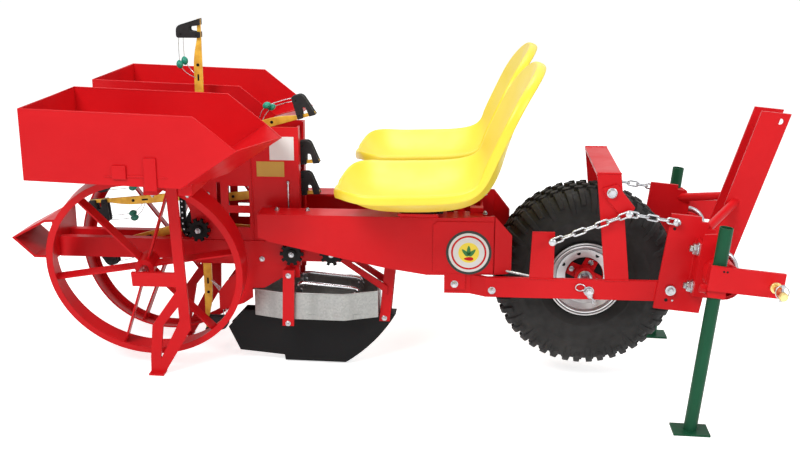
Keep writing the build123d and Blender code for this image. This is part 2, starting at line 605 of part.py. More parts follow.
def leg_floor():
    """The floor's height under the rear feet, in the pitched unit's own frame."""
    return -LEG_FOOT_X * tan(radians(UNIT_PITCH))


def rear_legs():
    """The leaning posts outside the press wheels, their forked legs and feet, and the wheel axles."""
    up = 1 / cos(radians(LEG_LEAN))
    half = LEG_BAR / 2

    def level(height):
        return (height - leg_floor()) * up

    top = level(BOX_SUPPORT_BOTTOM + 20)
    post = block(POST_X - half, POST_X + half, -LEG_SHEET, 0, level(200), top)
    arm = block(PRESS_HUB_X - 30, POST_X, -LEG_SHEET, 0, level(357), level(405))
    rear = Polyline((POST_X - half, level(343)), (-1405, level(216)), (-1422, level(99)), (LEG_FOOT_X - 22, 0),
                    (LEG_FOOT_X + 22, 0), (-1388, level(99)), (-1369, level(216)), (POST_X + half - 6, level(320)),
                    close=True)
    front = Polyline((POST_X - half, level(235)), (-1395, level(80)), (LEG_FOOT_X, 0), (LEG_FOOT_X + 22, 0),
                     (POST_X + half, level(205)), (POST_X + half, level(235)), close=True)
    fork = extrude(make_face(rear), LEG_SHEET) + extrude(make_face(front), LEG_SHEET)
    leg = leg_frame() * (post + arm + Rot(90, 0, 0) * fork)
    leg = leg & block(-BEYOND, 0, -BEYOND, 0, leg_floor() + FOOT_SHEET / 2, BOX_SUPPORT_BOTTOM)
    foot = Pos(LEG_FOOT_X, -LEG_FOOT_Y - LEG_SHEET / 2, leg_floor()) * Rot(0, UNIT_PITCH, 0) * Pos(
        0, 0, FOOT_SHEET / 2) * Box(50, 44, FOOT_SHEET)
    place("rear_legs", leg + foot, mirrored(leg + foot))
    inner_end = -PRESS_HUB_LENGTH / 2 - 4
    reach = 160
    axle = press_frame() * Pos(0, 0, (reach + inner_end) / 2) * Cylinder(PRESS_AXLE_RADIUS, reach - inner_end)
    axle = axle & (leg_frame() * block(-BEYOND, 0, 0, BEYOND, -BEYOND, BEYOND))
    place("press_axles", axle, mirrored(axle))


def rear_guard():
    """The folded guard that closes the rails' rear ends."""
    face = RAIL_REAR - GUARD_SHEET
    outer = ((face, 532), (-1791, 530), (-1905, 468), (-1832, 400), (face, 400))
    inner = ((face, 524), (-1789, 522), (-1893, 467), (-1829, 408), (face, 408))
    sheet = make_face(Polyline(*outer, close=True)) - make_face(Polyline(*inner, close=True))
    guard = Rot(90, 0, 0) * extrude(sheet, GUARD_HALF_WIDTH, both=True)
    plate = block(face, RAIL_REAR, -GUARD_HALF_WIDTH, GUARD_HALF_WIDTH, 400, 532)
    place("rear_guard", guard + plate)


def opener():
    """The keeled opener shoe, its trough, hangers and struts, and the cheek plates behind it."""
    curve = ThreePointArc((-795, 26), (-694, 110), (-623, SHOE_TOP))
    outline = Polyline((-623, SHOE_TOP), (-1143, SHOE_TOP), (-1199, 145), (-1160, 62), (-1007, 48), (-1004, 29),
                       (-795, 26)) + curve
    hollow = make_face(Polyline((-1300, 300), (-1300, 60), (-1150, 72), (-1000, 58), (-812, 42),
                                (-740, 96), (-690, SHOE_TOP - 6), (-690, 300), close=True))
    solid = extrude(make_face(outline), SHOE_HALF_WIDTH, both=True)
    slot = extrude(hollow, SHOE_HALF_WIDTH - SHOE_SHEET, both=True)
    place("opener_shoe", Rot(90, 0, 0) * (solid - slot))
    plan = ((TROUGH_REAR, -70), (-1000, -102), (-790, -108), (-680, -62), (-680, 62), (-790, 108), (-1000, 102),
            (TROUGH_REAR, 70))
    tub = extrude(make_face(Polyline(*plan, close=True)), TROUGH_HEIGHT)
    tub = offset(tub, amount=-TROUGH_SHEET, openings=[tub.faces().sort_by(Axis.Z)[-1]])
    way = SHOE_HALF_WIDTH - SHOE_SHEET
    tub = Pos(0, 0, SHOE_TOP) * tub - block(-1200, -700, -way, way, SHOE_TOP - 5, SHOE_TOP + TROUGH_HEIGHT / 2)
    place("opener_trough", tub)
    hanger = side_plate(((-994, 188), (-956, 188), (-950, 382), (-988, 382)), -HANGER_Y - 10, 10)
    spacer = block(-986, -954, -HANGER_Y, -RAIL_OUTER_Y - FRAME_PLATE, 348, 378)
    bolt = cross_pin(-975, SHOE_TOP - 9, 8, -HANGER_Y, -SHOE_HALF_WIDTH)
    hanger = hanger + spacer + bolt
    place("shoe_hangers", hanger, mirrored(hanger))
    front = side_plate(((-679, 182), (-643, 182), (-618, 440), (-654, 440)), -SHOE_HALF_WIDTH - 8, 8)
    strut = side_plate(((-815, RAIL_BOTTOM), (-785, RAIL_BOTTOM), (-650, 310), (-650, 282)), -SHOE_HALF_WIDTH - 16, 8)
    front = front + strut
    place("shoe_front_bars", front, mirrored(front))
    notch_x, notch_z = TROUGH_REAR - TROUGH_CLEARANCE, SHOE_TOP + TROUGH_HEIGHT + TROUGH_CLEARANCE
    cheek = side_plate(((-940, FRAME_BOTTOM), (-1155, FRAME_BOTTOM), (-1155, 352), (-1190, 323), (-1216, 287),
                        (-1216, 218), (-1132, 247), (notch_x, 268), (notch_x, notch_z), (-1062, notch_z),
                        (-996, 342), (-940, 342)),
                       -RAIL_OUTER_Y - FRAME_PLATE, FRAME_PLATE)
    place("opener_cheeks", cheek, mirrored(cheek))


def drive_sprockets():
    """The coarse black sprockets outside the side frames and the front rail."""
    frame_face = RAIL_OUTER_Y + FRAME_PLATE
    for x, z, face in ((LOOP_X, LOOP_BOTTOM, frame_face), (-962, 430, frame_face), (-830, 432, RAIL_OUTER_Y)):
        wheel = cross_pin(x, z, 30, -SPROCKET_Y - 6, -SPROCKET_Y + 6)
        for index in range(SPROCKET_TEETH):
            turn = Rot(0, index * 360 / SPROCKET_TEETH, 0)
            wheel = wheel + Pos(x, -SPROCKET_Y, z) * turn * Pos(33, 0, 0) * Box(12, 12, 10)
        boss = cross_pin(x, z, 12, -SPROCKET_Y, -face)
        cap = cross_pin(x, z, 16, -SPROCKET_Y - 14, -SPROCKET_Y)
        place("drive_sprockets", wheel + boss + cap)


def seats():
    """Moulded bucket seats that face the plant boxes, and the brackets that carry them."""
    line = Spline(*SEAT_LINE)
    girth = Spline(*SEAT_GIRTH)
    sections = []
    for index in range(SEAT_SECTIONS + 1):
        share = index / SEAT_SECTIONS
        along = line % share
        size = girth @ share
        half, wing, edge = size.Y, size.Z, size.Y - SEAT_SHELL
        plane = Plane(origin=line @ share, x_dir=(0, 1, 0), z_dir=along)
        outline = ThreePointArc((-half, wing), (0, 0), (half, wing)) + Line((half, wing), (edge, wing))
        outline = outline + ThreePointArc((edge, wing), (0, SEAT_SHELL), (-edge, wing))
        outline = outline + Line((-edge, wing), (-half, wing))
        sections.append(plane * make_face(outline))
    shell = Pos(0, -SEAT_Y, 0) * loft(sections)
    both_sides("seat", shell)
    plate = block(-600, -470, -SEAT_Y - 60, -BEAM_HALF_WIDTH + BEAM_FLANGE, BEAM_TOP, BEAM_TOP + 8)
    pad = block(-590, -480, -SEAT_Y - 50, -SEAT_Y + 60, BEAM_TOP + 7, 660) - shell
    pad = pad.solids().sort_by(Axis.Z)[0]
    place("seat_mounts", plate + pad, mirrored(plate + pad))


def write_parts(pieces):
    """Moves every piece into the shared frame and writes one file per node."""
    unit = Rot(0, -UNIT_PITCH, 0)
    bolt = (unit * Pos(FLOAT_BOLT_X, 0, FLOAT_BOLT_HEIGHT)).position
    head = Pos(bolt.X, 0, bolt.Z) * Rot(0, HEAD_LEAN, 0)
    frames = {"unit": unit, "head": head}
    moved = {}
    for node, items in pieces.items():
        solids = []
        for frame, shape in items:
            solids.extend((frames[frame] * shape).solids())
        moved[node] = Compound(children=solids) if len(solids) > 1 else solids[0]
    boxes = [shape.bounding_box() for shape in moved.values()]
    mid_x = (min(box.min.X for box in boxes) + max(box.max.X for box in boxes)) / 2
    low = min(box.min.Z for box in boxes)
    base = Pos(-mid_x, 0, -low)
    for node, shape in moved.items():
        export_step(base * shape, "parts/" + node + ".step")


def foot_depth():
    """How far below the float bolt, in the head's frame, the foot plates' middle planes lie."""
    lean, pitch = radians(HEAD_LEAN), radians(UNIT_PITCH)
    bolt_height = FLOAT_BOLT_HEIGHT * cos(pitch) + FLOAT_BOLT_X * sin(pitch)
    return (FOOT_SHEET / 2 - bolt_height + STAND_X * sin(lean)) / cos(lean)


front_wheel()
front_axle()
beam()
arms()
hitch_head()
stands(foot_depth())
gripper_chain()
grippers()
lift_chains()
side_frames()
plant_boxes()
press_wheels()
rear_legs()
rear_guard()
opener()
drive_sprockets()
seats()
write_parts(placed)
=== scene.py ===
"""Looks for the bare root transplanter: materials, fasteners, wires, trim, floor, light and camera."""

import json
from math import atan2, cos, pi, radians, sin, sqrt

import bmesh
import bpy
from mathutils import Matrix, Vector


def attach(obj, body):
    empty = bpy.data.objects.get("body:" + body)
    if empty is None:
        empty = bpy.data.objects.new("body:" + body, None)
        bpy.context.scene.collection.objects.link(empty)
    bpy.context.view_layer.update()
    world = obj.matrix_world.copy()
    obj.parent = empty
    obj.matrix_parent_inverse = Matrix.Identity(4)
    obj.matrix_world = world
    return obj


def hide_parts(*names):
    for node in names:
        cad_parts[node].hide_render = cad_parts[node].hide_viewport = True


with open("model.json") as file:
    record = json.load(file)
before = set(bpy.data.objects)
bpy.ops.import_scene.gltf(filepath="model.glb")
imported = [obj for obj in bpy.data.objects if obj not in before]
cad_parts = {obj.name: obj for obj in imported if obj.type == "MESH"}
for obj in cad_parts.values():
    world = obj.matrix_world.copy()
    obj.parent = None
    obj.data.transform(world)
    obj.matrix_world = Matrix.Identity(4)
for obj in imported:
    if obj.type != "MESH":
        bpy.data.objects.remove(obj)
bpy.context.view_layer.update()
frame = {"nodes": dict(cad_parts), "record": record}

# The two drawing frames of the model, in metres: the level planting unit and the leaning hitch head on its hinge
PITCH = radians(1.3)
LEAN = radians(4.2)
SHIFT = 0.659373
HINGE_X, HINGE_Z = 249, 380
UNIT = Matrix.Translation((SHIFT, 0, 0)) @ Matrix.Rotation(-PITCH, 4, "Y")
HEAD = Matrix.Translation(UNIT @ Vector((HINGE_X / 1000, 0, HINGE_Z / 1000))) @ Matrix.Rotation(LEAN, 4, "Y")


# Materials

def feed(tree, made, inputs):
    """Links a socket to each named input of a node, or sets a constant on it."""
    for key, value in inputs.items():
        if isinstance(value, bpy.types.NodeSocket):
            tree.links.new(value, made.inputs[key])
        else:
            made.inputs[key].default_value = (*value, 1) if made.inputs[key].type == "RGBA" else value


def node(tree, kind, inputs=None, **settings):
    made = tree.nodes.new(kind)
    for key, value in settings.items():
        setattr(made, key, value)
    feed(tree, made, inputs or {})
    return made


def noise(tree, scale, detail):
    place = node(tree, "ShaderNodeTexCoord").outputs["Object"]
    return node(tree, "ShaderNodeTexNoise", {
        "Vector": place, "Scale": scale, "Detail": detail, "Roughness": 0.55}).outputs["Fac"]


def ramp(tree, source, stops):
    made = node(tree, "ShaderNodeValToRGB", {"Fac": source})
    for element, (place, color) in zip(made.color_ramp.elements, stops):
        element.position = place
        element.color = (*color, 1)
    return made.outputs["Color"]


def spread(tree, source, low, high, to_low, to_high):
    """Maps one range of values to another."""
    return node(tree, "ShaderNodeMapRange", {
        "Value": source, "From Min": low, "From Max": high, "To Min": to_low, "To Max": to_high}).outputs["Result"]


def mix(tree, share, first, second):
    factor, color_a, color_b = 0, 6, 7
    made = node(tree, "ShaderNodeMix", data_type="RGBA")
    feed(tree, made, {factor: share, color_a: first, color_b: second})
    return made.outputs[2]


def relief(tree, height, strength, distance, radius):
    """A fine bump over edges that look rounded to a radius."""
    edge = node(tree, "ShaderNodeBevel", {"Radius": radius}, samples=4).outputs["Normal"]
    return node(tree, "ShaderNodeBump", {
        "Height": height, "Strength": strength, "Distance": distance, "Normal": edge}).outputs["Normal"]


def new_material(name, build, *values):
    """A new material whose Principled sockets are filled by one of the builders below."""
    made = bpy.data.materials.new(name)
    made.use_nodes = True
    tree = made.node_tree
    feed(tree, tree.nodes["Principled BSDF"], build(tree, *values))
    return made


def paint(tree, base, dark, rough=0.36, coat=0.03, radius=0.0016):
    """Sprayed enamel: faint orange peel, slightly uneven colour, duller patches."""
    color = ramp(tree, noise(tree, 3.2, 5.0), ((0.3, dark), (0.62, base)))
    speckle = spread(tree, noise(tree, 55.0, 3.0), 0.35, 0.75, 0.0, 0.10)
    return {"Base Color": mix(tree, speckle, color, tuple(0.8 * c for c in base)),
            "Roughness": spread(tree, noise(tree, 9.0, 6.0), 0.3, 0.7, rough - 0.07, rough + 0.10),
            "Normal": relief(tree, noise(tree, 160.0, 2.0), 0.04, 0.0008, radius),
            "Specular IOR Level": 0.14, "Coat Weight": coat, "Coat Roughness": 0.15}


def metal(tree, base, dark, rough, scale=60.0, metallic=1.0):
    """Plated or bare metal with a fine grain and dull spots."""
    return {"Base Color": ramp(tree, noise(tree, scale, 6.0), ((0.32, dark), (0.6, base))),
            "Roughness": spread(tree, noise(tree, scale * 1.7, 4.0), 0.3, 0.7, rough - 0.08, rough + 0.12),
            "Normal": relief(tree, noise(tree, scale * 6, 3.0), 0.08, 0.0005, 0.0008), "Metallic": metallic}


def galvanised(tree):
    """Zinc-coated sheet: a faint small spangle under drawn streaks."""
    place = node(tree, "ShaderNodeTexCoord").outputs["Object"]
    cells = node(tree, "ShaderNodeTexVoronoi", {"Scale": 170.0, "Vector": place}).outputs["Color"]
    grey = node(tree, "ShaderNodeRGBToBW", {"Color": cells}).outputs["Val"]
    color = ramp(tree, grey, ((0.2, (0.30, 0.31, 0.30)), (0.8, (0.37, 0.38, 0.37))))
    drawn = node(tree, "ShaderNodeMapping", {"Scale": (26.0, 26.0, 1.6), "Vector": place}).outputs["Vector"]
    streaks = node(tree, "ShaderNodeTexNoise", {"Scale": 1.0, "Vector": drawn}).outputs["Fac"]
    return {"Base Color": mix(tree, spread(tree, streaks, 0.35, 0.7, 0.0, 0.55), color, (0.24, 0.25, 0.24)),
            "Roughness": spread(tree, grey, 0.1, 0.9, 0.36, 0.46),
            "Normal": relief(tree, noise(tree, 240.0, 2.0), 0.05, 0.0005, 0.001), "Metallic": 0.7}


def rubber(tree, base, light, scale):
    """Moulded rubber: matt, dusty in patches, with a fine skin."""
    color = ramp(tree, noise(tree, scale, 6.0), ((0.35, base), (0.72, light)))
    dust = spread(tree, noise(tree, 5.0, 5.0), 0.45, 0.75, 0.0, 0.5)
    return {"Base Color": mix(tree, dust, color, tuple(2.2 * c for c in light)),
            "Roughness": spread(tree, noise(tree, scale * 2, 4.0), 0.3, 0.7, 0.55, 0.85),
            "Normal": relief(tree, noise(tree, scale * 14, 3.0), 0.2, 0.0006, 0.002), "Specular IOR Level": 0.3}


def moulded(tree, base, shade):
    """Glossy moulded plastic with a faint flow and a fine grain."""
    return {"Base Color": ramp(tree, noise(tree, 4.0, 3.0), ((0.3, shade), (0.65, base))),
            "Roughness": spread(tree, noise(tree, 14.0, 5.0), 0.3, 0.7, 0.30, 0.44),
            "Normal": relief(tree, noise(tree, 700.0, 2.0), 0.05, 0.0004, 0.0015)}


STICKER = (0.4, 0.2, 0.0004)
LOOKS = {
    # name: builder, its colours, then roughness and what else it takes
    "red_paint": (paint, (0.64, 0.009, 0.013), (0.56, 0.006, 0.010)),
    "green_paint": (paint, (0.008, 0.080, 0.036), (0.006, 0.060, 0.027), 0.42, 0.02),
    "black_paint": (paint, (0.008, 0.008, 0.008), (0.005, 0.005, 0.006), 0.5, 0.0),
    "zinc": (metal, (0.52, 0.53, 0.55), (0.34, 0.35, 0.37), 0.28),
    "galvanised": (galvanised,),
    "rim_silver": (metal, (0.66, 0.67, 0.68), (0.58, 0.59, 0.60), 0.36, 25.0, 0.75),
    "gold_plated": (metal, (0.90, 0.56, 0.06), (0.66, 0.34, 0.03), 0.42, 30.0, 0.35),
    "tyre_rubber": (rubber, (0.010, 0.010, 0.010), (0.021, 0.020, 0.0195), 26.0),
    "jaw_rubber": (rubber, (0.006, 0.006, 0.007), (0.012, 0.012, 0.013), 40.0),
    "yellow_plastic": (moulded, (0.93, 0.75, 0.055), (0.88, 0.68, 0.036)),
    "yellow_zinc": (metal, (0.80, 0.62, 0.28), (0.58, 0.42, 0.16), 0.3, 40.0, 0.9),
    "chrome": (metal, (0.80, 0.81, 0.83), (0.70, 0.71, 0.74), 0.14, 30.0),
    "bead_green": (moulded, (0.01, 0.30, 0.20), (0.006, 0.22, 0.15)),
    "white_plate": (paint, (0.80, 0.80, 0.79), (0.70, 0.70, 0.69), *STICKER),
    "gold_plate": (paint, (0.62, 0.40, 0.07), (0.50, 0.31, 0.05), *STICKER),
    "leaf_green": (paint, (0.05, 0.26, 0.07), (0.04, 0.2, 0.05), *STICKER),
    "dark_ring": (paint, (0.035, 0.04, 0.035), (0.025, 0.03, 0.025), *STICKER),
}
MATERIALS = {name: new_material(name, *values) for name, values in LOOKS.items()}
for part in frame["record"]["subparts"]:
    look = "yellow_zinc" if part["node"] == "hitch_pins" else part["material_slot"]
    shown = frame["nodes"][part["node"]].data.materials
    shown.clear()
    shown.append(MATERIALS[look])


# Building in millimetres, in the model's two drawing frames

MM = Matrix.Scale(0.001, 4)
UNIT_MM = UNIT @ MM
HEAD_MM = HEAD @ MM
WHEEL_Z = 365
WHEEL_MM = UNIT_MM @ Matrix.Translation((0, 0, WHEEL_Z))

# Right and left, the outer faces of the side frames, the arms and the clamp plates, and the toolbar's middle
SIDES = (-1, 1)
FRAME_Y, ARM_Y, CLAMP_Y = 72, 212, 222
TOOLBAR_X, TOOLBAR_Z = 118, 93


def finish_piece(name, mesh, where, slot, body="frame", material=None, bevel=0.0, smooth=35):
    """Turns a mesh in millimetres into a named piece that rides on a body."""
    made = bpy.data.meshes.new(name)
    bmesh.ops.remove_doubles(mesh, verts=mesh.verts, dist=0.01)
    bmesh.ops.recalc_face_normals(mesh, faces=mesh.faces)
    mesh.transform(where)
    mesh.to_mesh(made)
    mesh.free()
    made.polygons.foreach_set("use_smooth", [True] * len(made.polygons))
    made.set_sharp_from_angle(angle=radians(smooth))
    piece = bpy.data.objects.new(name, made)
    bpy.context.scene.collection.objects.link(piece)
    made.materials.append(material or MATERIALS[slot])
    if bevel:
        round_edges = piece.modifiers.new("round_edges", "BEVEL")
        round_edges.width = bevel / 1000
        round_edges.segments = 2
        round_edges.limit_method = "ANGLE"
        round_edges.angle_limit = radians(40)
    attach(piece, body)
    return piece


def block(mesh, x0, x1, y0, y1, z0, z1, where=None):
    spot = Matrix.Translation(((x0 + x1) / 2, (y0 + y1) / 2, (z0 + z1) / 2))
    size = Matrix.Diagonal((abs(x1 - x0), abs(y1 - y0), abs(z1 - z0), 1))
    bmesh.ops.create_cube(mesh, size=1, matrix=(where or Matrix()) @ spot @ size)


def skin(mesh, one, two, closed=True):
    """Faces between two like rows of points, which run round in a ring or end apart."""
    for k in range(len(one) if closed else len(one) - 1):
        after = (k + 1) % len(one)
        mesh.faces.new((one[k], one[after], two[after], two[k]))


def plate(mesh, points, y0, y1, where=None):
    """A flat plate standing in the XZ plane between two widths."""
    where = where or Matrix()
    near, far = ([mesh.verts.new(where @ Vector((x, y, z))) for x, z in points] for y in (y0, y1))
    mesh.faces.new(near)
    mesh.faces.new(far[::-1])
    skin(mesh, near, far)


def turns(count, start=0.0, sweep=2 * pi, last=False):
    """Angles in equal steps, with the end one left out unless it is asked for."""
    return [start + sweep * k / count for k in range(count + last)]


def link_outline(half, radius, steps):
    """Two half circles with their centres a half length to each side."""
    return [(end * half + radius * cos(turn), radius * sin(turn)) for end in (1, -1)
            for turn in turns(steps, -end * pi / 2, pi, True)]


def turned_corner(before, spot, after, radius, steps, share):
    """A small curve in place of a corner, no longer than a share of the edges that meet there."""
    back, ahead = before - spot, after - spot
    reach = min(radius, back.length * share, ahead.length * share)
    start, end = spot + back.normalized() * reach, spot + ahead.normalized() * reach
    places = [k / steps for k in range(steps + 1)]
    return [start * (1 - t) ** 2 + spot * 2 * t * (1 - t) + end * t ** 2 for t in places]


def rounded(corners, steps=5):
    """A closed outline from (x, z, radius) corners, each turned by a small curve."""
    spots = [Vector(values[:2]) for values in corners]
    made = []
    for k, spot in enumerate(spots):
        made += turned_corner(spots[k - 1], spot, spots[(k + 1) % len(spots)], corners[k][2], steps, 0.49)
    return made


def lathe(mesh, profile, where, steps=32):
    """A turned piece: (distance along, radius) pairs about the local Z axis of a matrix."""
    rings = []
    for along, radius in profile:
        rings.append([mesh.verts.new(where @ Vector((radius * cos(turn), radius * sin(turn), along)))
                      for turn in (turns(steps) if radius > 1e-6 else (0,))])
    for first, second in zip(rings, rings[1:]):
        if len(first) == len(second) > 1:
            skin(mesh, first, second)
        for k in range(steps if len(first) != len(second) else 0):
            after = (k + 1) % steps
            tip = (first[0], second[k], second[after]) if len(first) == 1 else (first[k], first[after], second[0])
            mesh.faces.new(tip)


def aimed(at, axis):
    """A matrix whose Z axis points along a direction."""
    return Matrix.Translation(at) @ Vector(axis).to_track_quat("Z", "Y").to_matrix().to_4x4()


def disc(mesh, at, axis, radius, height, steps=16):
    lathe(mesh, ((0, 0), (0, radius), (height, radius), (height, 0)), aimed(at, axis), steps)


def rod(mesh, start, end, radius, steps=20, chamfer=0.0):
    start, end = Vector(start), Vector(end)
    length = (end - start).length
    profile = [(0, 0), (0, radius - chamfer)]
    if chamfer:
        profile += [(chamfer, radius), (length - chamfer, radius)]
    profile += [(length, radius - chamfer), (length, 0)]
    lathe(mesh, profile, aimed(start, end - start), steps)


def hex_part(mesh, at, axis, across, height):
    """A hexagon nut or head with its corners turned off, standing on a point."""
    corner = across / sqrt(3)
    where = aimed(at, axis)
    levels = ((0, corner), (height * 0.86, corner), (height, corner * 0.86))
    rings = [[mesh.verts.new(where @ Vector((radius * cos(turn), radius * sin(turn), along))) for turn in turns(6)]
             for along, radius in levels]
    mesh.faces.new(rings[0][::-1])
    mesh.faces.new(rings[-1])
    for first, second in zip(rings, rings[1:]):
        skin(mesh, first, second)


def bolt(mesh, at, axis, size, stub=0.0):
    """A washer, a hexagon of the bolt's size and, for a nut, the stub of its thread."""
    at, axis = Vector(at), Vector(axis).normalized()
    thick, height = size * 0.18, size * 0.65
    washer = ((0, 0), (0, size), (thick * 0.8, size), (thick, size * 0.94), (thick, 0))
    lathe(mesh, washer, aimed(at, axis), 24)
    hex_part(mesh, at + axis * thick, axis, size * 1.5, height)
    if stub:
        start, root, crest = thick + height, size * 0.44, size * 0.5
        threads = max(2, int(stub / (size * 0.14)))
        profile = [(start - 0.1, root)]
        for k in range(threads):
            low = start + stub * k / threads
            profile += [(low, root), (low + stub / threads / 2, crest)]
        profile += [(start + stub, size * 0.42), (start + stub, 0)]
        lathe(mesh, profile, aimed(at, axis), 16)


def tube(mesh, points, radius, steps=8, closed=False, swell=None):
    """A round wire along points, open with rounded caps or closed on itself."""
    points = [Vector(p) for p in points]
    count = len(points)
    rings = []
    across = None
    for k, spot in enumerate(points):
        before = points[k - 1] if (k or closed) else spot
        after = points[(k + 1) % count] if (k < count - 1 or closed) else spot
        along = (after - before).normalized()
        if across is None:
            across = along.orthogonal().normalized()
        across = (across - along * across.dot(along)).normalized()
        other = along.cross(across)
        size = radius * (swell[k % len(swell)] if swell else 1.0)
        rings.append([mesh.verts.new(spot + (across * cos(turn) + other * sin(turn)) * size)
                      for turn in turns(steps)])
    pairs = list(zip(rings, rings[1:]))
    if closed:
        first, last = rings[0], rings[-1]
        shift = min(range(steps), key=lambda j: (first[j].co - last[0].co).length)
        pairs.append((last, first[shift:] + first[:shift]))
    for one, two in pairs:
        skin(mesh, one, two)
    if not closed:
        mesh.faces.new(rings[0][::-1])
        mesh.faces.new(rings[-1])


def bend(points, radius, steps=5):
    """The points of a bent rod, its corners rounded to a radius."""
    points = [Vector(p) for p in points]
    made = [points[0]]
    for before, spot, after in zip(points, points[1:], points[2:]):
        made += turned_corner(before, spot, after, radius, steps, 0.48)
    return made + [points[-1]]


def weld(mesh, start, end, radius):
    """A weld bead with its ripples between two points."""
    start, end = Vector(start), Vector(end)
    count = max(4, int((end - start).length / 3.0))
    points = [start.lerp(end, k / count) for k in range(count + 1)]
    swell = [1.0 + 0.16 * sin(k * 2.1) + 0.08 * sin(k * 5.3) for k in range(count + 1)]
    tube(mesh, points, radius, 8, swell=swell)


# Front wheel

TYRE_PROFILE = (
    # radius and half width of the carcass from bead to crown
    (118.5, 74), (122, 82), (131, 88), (140, 96), (152, 104), (156, 107.5), (160, 107.5), (164, 109), (176, 114),
    (190, 118.2), (200, 119.6), (203, 121.6), (207, 121.6), (210, 119.6), (224, 118), (240, 114), (254, 108),
    (266, 99), (275, 87), (281, 72), (285, 52), (287.5, 28), (288.5, 0))
LUG_COUNT = 46
SIDE_LUG = (
    # radius, half width and height over the carcass along a shoulder lug
    (226, 117.4, 0.5), (238, 114.6, 4), (250, 110, 7), (264, 101, 10.5), (275, 87, 13), (281, 72, 14),
    (284.5, 60, 14))
CROWN_ROWS = (
    # distance from the middle, phase in pitches and slant in degrees of a row of blocks
    (-34, 0.0, 24), (0, 0.35, 0), (34, 0.7, -24))
CROWN_BLOCK = ((-12, -14), (12, -14), (14.5, 0), (12, 14), (-12, 14), (-14.5, 0))
CROWN_FOOT, LUG_TOP = 286, 299


def around(radius, y, angle):
    return Vector((radius * cos(angle), y, radius * sin(angle)))


def tyre():
    """Carcass, shoulder lugs that run down the sidewall, and three staggered rows of crown blocks."""
    mesh = bmesh.new()
    outline = [(r, -y) for r, y in TYRE_PROFILE] + [(r, y) for r, y in TYRE_PROFILE[-2::-1]]
    rings = [[mesh.verts.new(around(r, y, turn)) for turn in turns(120)] for r, y in outline]
    for one, two in zip(rings, rings[1:]):
        skin(mesh, one, two)
    pitch = 2 * pi / LUG_COUNT
    for side in SIDES:
        for index in range(LUG_COUNT):
            middle = (index + (0.5 if side > 0 else 0.0)) * pitch
            rows = []
            # Every other lug leaves out the rows on the sidewall
            for place, (radius, width, height) in enumerate(SIDE_LUG[0 if index % 2 else 2:]):
                place = place / 6
                wide, skew = pitch * (0.27 + 0.05 * place), pitch * 0.18 * place
                top = min(radius + height * (0.55 if radius < 250 else 0.95), LUG_TOP)
                reach = width + height * (0.75 if radius < 262 else 0.2)
                rows.append([mesh.verts.new(around(r, side * y, middle + skew + turn)) for r, y, turn in (
                    (radius - 1.5, width - 1.5, -wide), (top, reach, -wide * 0.78),
                    (top, reach, wide * 0.78), (radius - 1.5, width - 1.5, wide))])
            for one, two in zip(rows, rows[1:]):
                skin(mesh, one, two, closed=False)
            mesh.faces.new(rows[0])
            mesh.faces.new(rows[-1][::-1])
    for y, phase, slant in CROWN_ROWS:
        turn = radians(slant)
        for index in range(LUG_COUNT):
            middle = (index + phase + 0.25) * pitch
            foot, top = [], []
            for level, radius, shrink in ((foot, CROWN_FOOT, 1.0), (top, LUG_TOP, 0.84)):
                for x, z in CROWN_BLOCK:
                    x, z = x * shrink, z * shrink
                    across, along = x * cos(turn) - z * sin(turn), x * sin(turn) + z * cos(turn)
                    level.append(mesh.verts.new(around(radius, y + along, middle + across / 300)))
            mesh.faces.new(top)
            skin(mesh, foot, top)
    piece = finish_piece("tyre_with_lugs", mesh, WHEEL_MM, "tyre_rubber", "front_wheel", bevel=1.2, smooth=50)
    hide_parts("front_tyre")


def wheel_trim():
    """Rim discs with black discs as painted shade over their slots, the red hub flanges, lug nuts, seals and the
    valve.
    """
    rims, slot_shade, flange, nuts, dark = (bmesh.new() for _ in range(5))
    dish = ((-6, 64), (-3, 62), (-2, 64), (0, 72), (6, 82), (9, 91.5), (4, 92.3), (-8, 92.3), (-6, 64))
    rim_edge = ((44.6, 117.2), (46.4, 119.5), (45.5, 122.5), (42, 123.5), (39.5, 120.5), (41, 117.4), (44.6, 117.2))
    for side in SIDES:
        out = (0, side, 0)
        where = aimed((0, side * 50, 0), out)
        lathe(rims, dish, where, 64)
        lathe(rims, rim_edge, where, 72)
        # Black discs over the rim's slots: painted shade, standing in for the dark inside of the wheel seen through
        # them
        for turn in turns(8, 0.35 * pi / 4):
            disc(slot_shade, around(80, side * 54.5, turn), out, 6.5, 1.6)
        lathe(dark, ((-15.8, 18), (-15.8, 60), (-15.0, 60), (-15.0, 18)), where, 48)
        for turn in (0.45, 0.45 + pi / 2):
            block(flange, -58, 58, side * 35, side * 41, -22, 22, Matrix.Rotation(turn, 4, "Y"))
        for turn in turns(4, -0.45):
            bolt(nuts, around(46, side * 41, turn), out, 9, 3)
        lathe(dark, ((-10, 15.4), (-10, 34), (6, 33), (9, 29), (9, 15.4)), aimed((0, side * 46, 0), out), 32)
        lathe(nuts, ((24, 15.6), (24, 24), (27, 24), (30, 21), (30, 15.6)), where, 32)
    rod(dark, around(101, -70, 0.9), around(99, -92, 0.9), 3.6, 12)
    finish_piece("rim_discs", rims, WHEEL_MM, "rim_silver", "front_wheel", smooth=40)
    finish_piece("rim_slot_shade", slot_shade, WHEEL_MM, "black_paint", "front_wheel")
    finish_piece("hub_flanges", flange, WHEEL_MM, "red_paint", "front_wheel", bevel=1.5)
    finish_piece("hub_nuts", nuts, WHEEL_MM, "zinc", "front_wheel")
    finish_piece("hub_seals", dark, WHEEL_MM, "black_paint", "front_wheel")


# Lift chains

CHAIN_Y, CHAIN_WIRE, LINK_RADIUS = 235, 3.0, 8.3


def head_spot(x, z):
    """A place of the hitch head, given in the planting unit's frame."""
    turn = PITCH + LEAN
    return HINGE_X + x * cos(turn) + z * sin(turn), HINGE_Z - x * sin(turn) + z * cos(turn)


